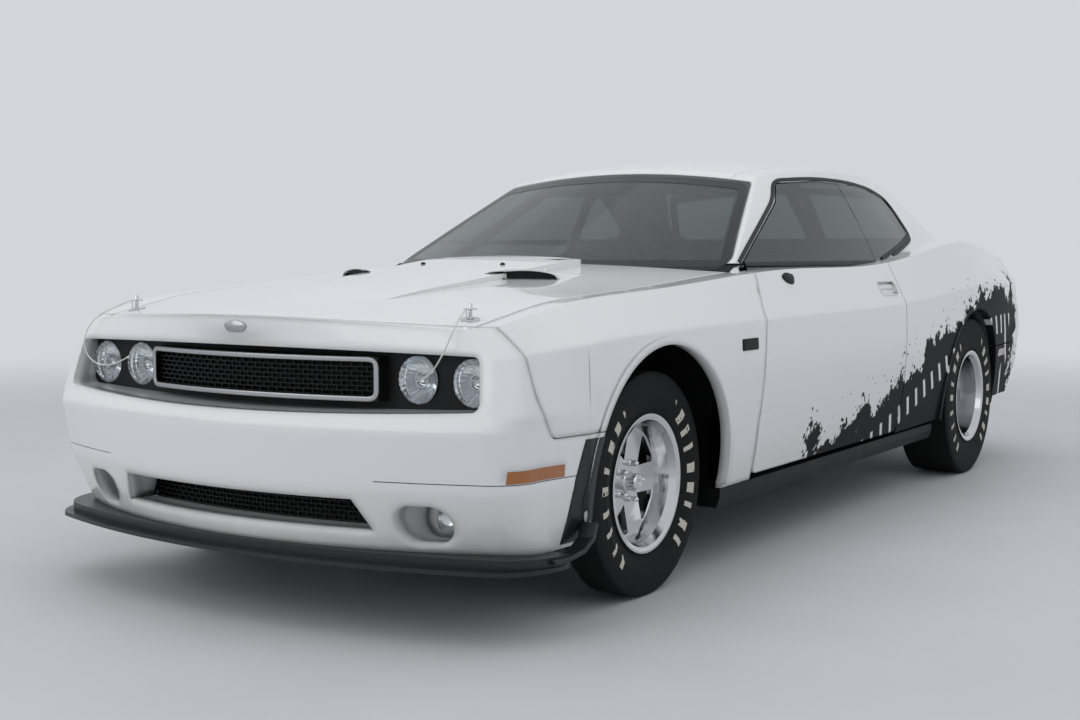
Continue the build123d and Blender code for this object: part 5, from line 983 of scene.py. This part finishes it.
# %% Tail lamp surround
TAIL_LAMP = [(-0.650, 0.784, 0.02), (0.650, 0.784, 0.02), (0.650, 0.878, 0.02),
             (-0.650, 0.878, 0.02)]
tail_skin = skin("tail_panel", "tail_lamps", "rear_fascia")
place, normal, _ = laid(tail_skin, "rear", *outline(TAIL_LAMP, 0.012).T)
surround = carried(place - 0.001 * normal, normal, rounded_bar(0.016, 0.007, 0.003),
                   closed=True)
piece("tail_lamp_surround", [surround], black_plastic, "body")
print("tail lamp surround done")

# %% [markdown]
# The seats are race buckets: a hard moulded shell with a woven cover over foam pads.
# The CAD seat is a block with the right bounds. Here the shell stays hard, and the
# cushion and back are padded: their blocks are blown up a little as cloth, so that the
# cover crowns in the middle and pulls in at the edges.

# %% Seats
SEAT_Y = 0.385
PAD_HALF, BOLSTER_FROM, BOLSTER_TO = 0.160, 0.180, 0.222
RUNNER_FROM, RUNNER_TO, SHELL_HALF = 0.150, 0.180, 0.170
THREADS_PER_METRE = 90.0
PRESSURE, VOXEL, CLOTH_FRAMES = 4.0, 0.008, 20
PAD_CAP, BOLSTER_CAP = 0.012, 0.008

weave_cover, place = substance("seat cover, woven polyester", "#17181A", 0.85,
                               Sheen_Weight=0.25, Sheen_Roughness=0.5)
threads = [add(weave_cover, "TexWave", {"Vector": place, "Scale": THREADS_PER_METRE,
                                       "Distortion": 1.0}, bands_direction=way)
           for way in "XY"]
woven = add(weave_cover, "Math", threads, "MULTIPLY")
bump = add(weave_cover, "Bump", {"Height": woven, "Strength": 0.4, "Distance": 0.0008})
shade = add(weave_cover, "ValToRGB", [woven], stops=[(0.0, "#0F1011"), (1.0, "#26282B")])
connect(weave_cover, Base_Color=shade, Normal=bump)


def slab(profile, y0, y1, steps=8):
    """A block over a closed side-view profile: the profile repeated from y0 to y1."""
    profile = np.asarray(profile, float)
    y = np.linspace(y0, y1, steps)
    grid = np.empty((steps, len(profile), 3))
    grid[:, :, 0], grid[:, :, 2] = profile[:, 0], profile[:, 1]
    grid[:, :, 1] = y[:, None]
    ends = [np.repeat(row.mean(0)[None, None], len(profile), 1) for row in (grid[0], grid[-1])]
    return surface(np.concatenate([ends[0], grid, ends[1]]), close_v=True)


def shaped(made):
    """The object's mesh as its modifiers leave it, and then no modifiers."""
    depsgraph = bpy.context.evaluated_depsgraph_get()
    mesh = bpy.data.meshes.new_from_object(made.evaluated_get(depsgraph))
    made.modifiers.clear()
    return mesh


def blown(made, cap):
    """Blows a closed block up as cloth, and lets no point move further than cap."""
    block = made.modifiers.new("blocks", "REMESH")
    block.mode, block.voxel_size = "VOXEL", VOXEL
    shape = shaped(made)
    made.data = shape
    shape.materials.clear()
    shape.materials.append(weave_cover)
    before, _ = arrays(shape)
    cloth = made.modifiers.new("cloth", "CLOTH")
    cloth.settings.use_pressure = True
    cloth.settings.uniform_pressure_force = PRESSURE
    cloth.settings.effector_weights.gravity = 0.0
    scene = bpy.context.scene
    for step in range(1, CLOTH_FRAMES + 1):
        scene.frame_set(step)
    after, _ = arrays(shaped(made))
    move = after - before
    far = np.linalg.norm(move, axis=1, keepdims=True)
    before = before + move * np.minimum(1.0, cap / np.maximum(far, 1e-9))
    scene.frame_set(1)
    shape.vertices.foreach_set("co", before.ravel())
    shape.shade_smooth()
    shape.update()
    smooth = made.modifiers.new("subdivision", "SUBSURF")
    smooth.levels = smooth.render_levels = 1


CUSHION = [(0.322, 0.352), (0.322, 0.424), (0.28, 0.430), (0.10, 0.408), (-0.02, 0.394),
           (-0.07, 0.398), (-0.09, 0.352)]
BACK = [(-0.098, 0.425), (-0.075, 0.425), (-0.100, 0.60), (-0.140, 0.85), (-0.172, 0.985),
        (-0.205, 0.985), (-0.195, 0.85), (-0.160, 0.60)]
SHELL = [(0.330, 0.334), (0.330, 0.350), (-0.10, 0.350), (-0.165, 0.60), (-0.200, 0.85),
         (-0.210, 1.006), (-0.235, 1.006), (-0.225, 0.85), (-0.200, 0.55), (-0.190, 0.334)]
BOLSTER = [(0.300, 0.340), (0.300, 0.470), (0.20, 0.490), (0.07, 0.500), (0.02, 0.560),
           (-0.04, 0.760), (-0.09, 0.890), (-0.20, 0.920), (-0.230, 0.88), (-0.190, 0.340)]
RUNNER = [(-0.150, 0.2433), (0.270, 0.2433), (0.270, 0.334), (-0.150, 0.334)]
seat_shells = []
for side, way in (("left", 1), ("right", -1)):
    y = way * SEAT_Y
    seat_shells += [slab(SHELL, y - SHELL_HALF, y + SHELL_HALF, 3),
                    slab(RUNNER, y - RUNNER_TO, y - RUNNER_FROM, 2),
                    slab(RUNNER, y + RUNNER_FROM, y + RUNNER_TO, 2)]
    for name, profile, a, b in (("cushion", CUSHION, -PAD_HALF, PAD_HALF),
                                ("back", BACK, -PAD_HALF, PAD_HALF),
                                ("bolster_inner", BOLSTER, -BOLSTER_FROM, -BOLSTER_TO),
                                ("bolster_outer", BOLSTER, BOLSTER_FROM, BOLSTER_TO)):
        block = slab(profile, *sorted((y + way * a, y + way * b)))
        pad = piece(f"seat_{name}_{side}", [block], weave_cover, "body")
        blown(pad, BOLSTER_CAP if "bolster" in name else PAD_CAP)
        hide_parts("seats")
seat_shell = piece("seat_shells", seat_shells, black_plastic, "body", sharp=30.0)
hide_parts("seats")
print("seats done")

# %% [markdown]
# The lanyards need their cover and the crimped ferrule at their lower end.

# %% Lanyard finish
cord_cover, place = substance("white nylon cover, extruded on steel cord", "#D9D8D2", 0.45)
lay = add(cord_cover, "TexNoise", {"Vector": place, "Scale": 700.0, "Detail": 2.0})
bump = add(cord_cover, "Bump", {"Height": lay, "Strength": 0.3, "Distance": 0.0003})
soil = add(cord_cover, "TexNoise", {"Vector": place, "Scale": 25.0})
shade = add(cord_cover, "ValToRGB", [soil], stops=[(0.3, "#DAD9D3"), (0.8, "#BDBBB2")])
connect(cord_cover, Normal=bump, Base_Color=shade)
FERRULE = [(-0.010, 0.0), (-0.010, 0.0026), (-0.009, 0.0031), (0.001, 0.0031),
           (0.002, 0.0026), (0.002, 0.0)]
for side, (length, route) in ROUTES.items():
    cord = lanyards[side]
    cord.data.materials.append(cord_cover)
    last, before = (np.array(route[k], float) / 1000 for k in (-1, -2))
    ferrule = piece(f"lanyard_ferrule_{side}", [turned(FERRULE, last, last - before, 20)],
                    chrome, "hood")
    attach(cord, "hood")
    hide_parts(f"lanyard_{side}")
print("lanyards finished")

# %% [markdown]
# The studio: a pale floor that fades into a plain background, one large soft light
# overhead, as wide as the car is long so that no hard patch shows in the lacquer, and
# three weaker ones round it. The overhead and rear lamps are kept out of reflections,
# because their straight edges would cut across the windshield. The background that
# the camera, the metal and the glass see is a flat pale grey, and the light that falls
# on the car is separate, at a level where white paint stays just under white.

# %% Floor and light
BACKGROUND = "#D2D6DA"
FLOOR_RADIUS, FADE_FROM, FADE_TO = 40.0, 3.6, 10.0
SKY, SKY_STRENGTH = "#F2F5FA", 0.48

floor_mat, place = substance("painted concrete floor", "#C8CBCD", 0.6)
shader = floor_mat.node_tree.nodes["Principled BSDF"]
grain = add(floor_mat, "TexNoise", {"Vector": place, "Scale": 2.5, "Detail": 8.0})
shade = add(floor_mat, "ValToRGB", [grain], stops=[(0.3, "#C6C9CB"), (0.7, "#CACDCF")])
connect(floor_mat, Base_Color=shade)
away = add(floor_mat, "VectorMath", [place], "LENGTH").outputs["Value"]
fade = add(floor_mat, "MapRange", {"Value": away, "From Min": FADE_FROM, "From Max": FADE_TO},
           interpolation_type="SMOOTHSTEP")
glow = add(floor_mat, "Emission", {"Color": linear(BACKGROUND), "Strength": 1.0})
blend = add(floor_mat, "MixShader", [fade, shader, glow])
output = floor_mat.node_tree.nodes["Material Output"]
floor_mat.node_tree.links.new(blend.outputs[0], output.inputs["Surface"])

angle = np.linspace(0, 2 * np.pi, 96, endpoint=False)
radii = np.array([0.0, 2.0, 4.0, 8.0, 16.0, FLOOR_RADIUS])
disc = radii[:, None, None] * np.stack([np.cos(angle), np.sin(angle), 0 * angle], -1)
points, quads = surface(disc, close_v=True)
mesh = bpy.data.meshes.new("floor")
mesh.from_pydata(points.tolist(), [], quads[:, ::-1].tolist())
mesh.materials.append(floor_mat)
floor = placed("floor", mesh)

world = bpy.data.worlds.new("studio")
bpy.context.scene.world = world
world.use_nodes = True
tree = world.node_tree
lit = tree.nodes["Background"]
lit.inputs["Color"].default_value = linear(SKY)
lit.inputs["Strength"].default_value = SKY_STRENGTH
seen = add(world, "Background", {"Color": linear(BACKGROUND), "Strength": 1.0})
path = add(world, "LightPath")
rays = path.outputs["Is Camera Ray"]
for kind in ("Glossy", "Transmission"):
    rays = add(world, "Math", [rays, path.outputs[f"Is {kind} Ray"]], "MAXIMUM")
mixed = add(world, "MixShader", [rays, lit, seen])
tree.links.new(mixed.outputs[0], tree.nodes["World Output"].inputs["Surface"])

LIGHTS = [("overhead", (0.5, 0.3, 5.6), (0.2, 0.0, 0.5), (13.0, 10.0), 260.0),
          ("left", (3.0, 7.0, 4.0), (0.2, 0.3, 0.5), (8.0, 4.0), 50.0),
          ("front", (8.0, -2.6, 3.6), (1.5, 0.0, 0.5), (7.0, 4.0), 120.0),
          ("rear", (-7.0, -5.0, 5.0), (-1.0, 0.0, 0.6), (9.0, 5.0), 60.0)]
for name, spot, aim, (wide, high), watts in LIGHTS:
    lamp = bpy.data.lights.new(name, "AREA")
    lamp.shape, lamp.size, lamp.size_y, lamp.energy = "RECTANGLE", wide, high, watts
    holder = placed(f"light_{name}", lamp)
    holder.location = spot
    way = np.array(aim) - np.array(spot)
    holder.rotation_euler = (math.atan2(math.hypot(way[0], way[1]), -way[2]), 0.0,
                             math.atan2(way[1], way[0]) - math.pi / 2)
    holder.visible_glossy = name in ("left", "front")
bpy.context.scene.view_settings.view_transform = "Standard"
print("studio done")

# %% [markdown]
# The scene is complete.

# %% End
print("scene done")
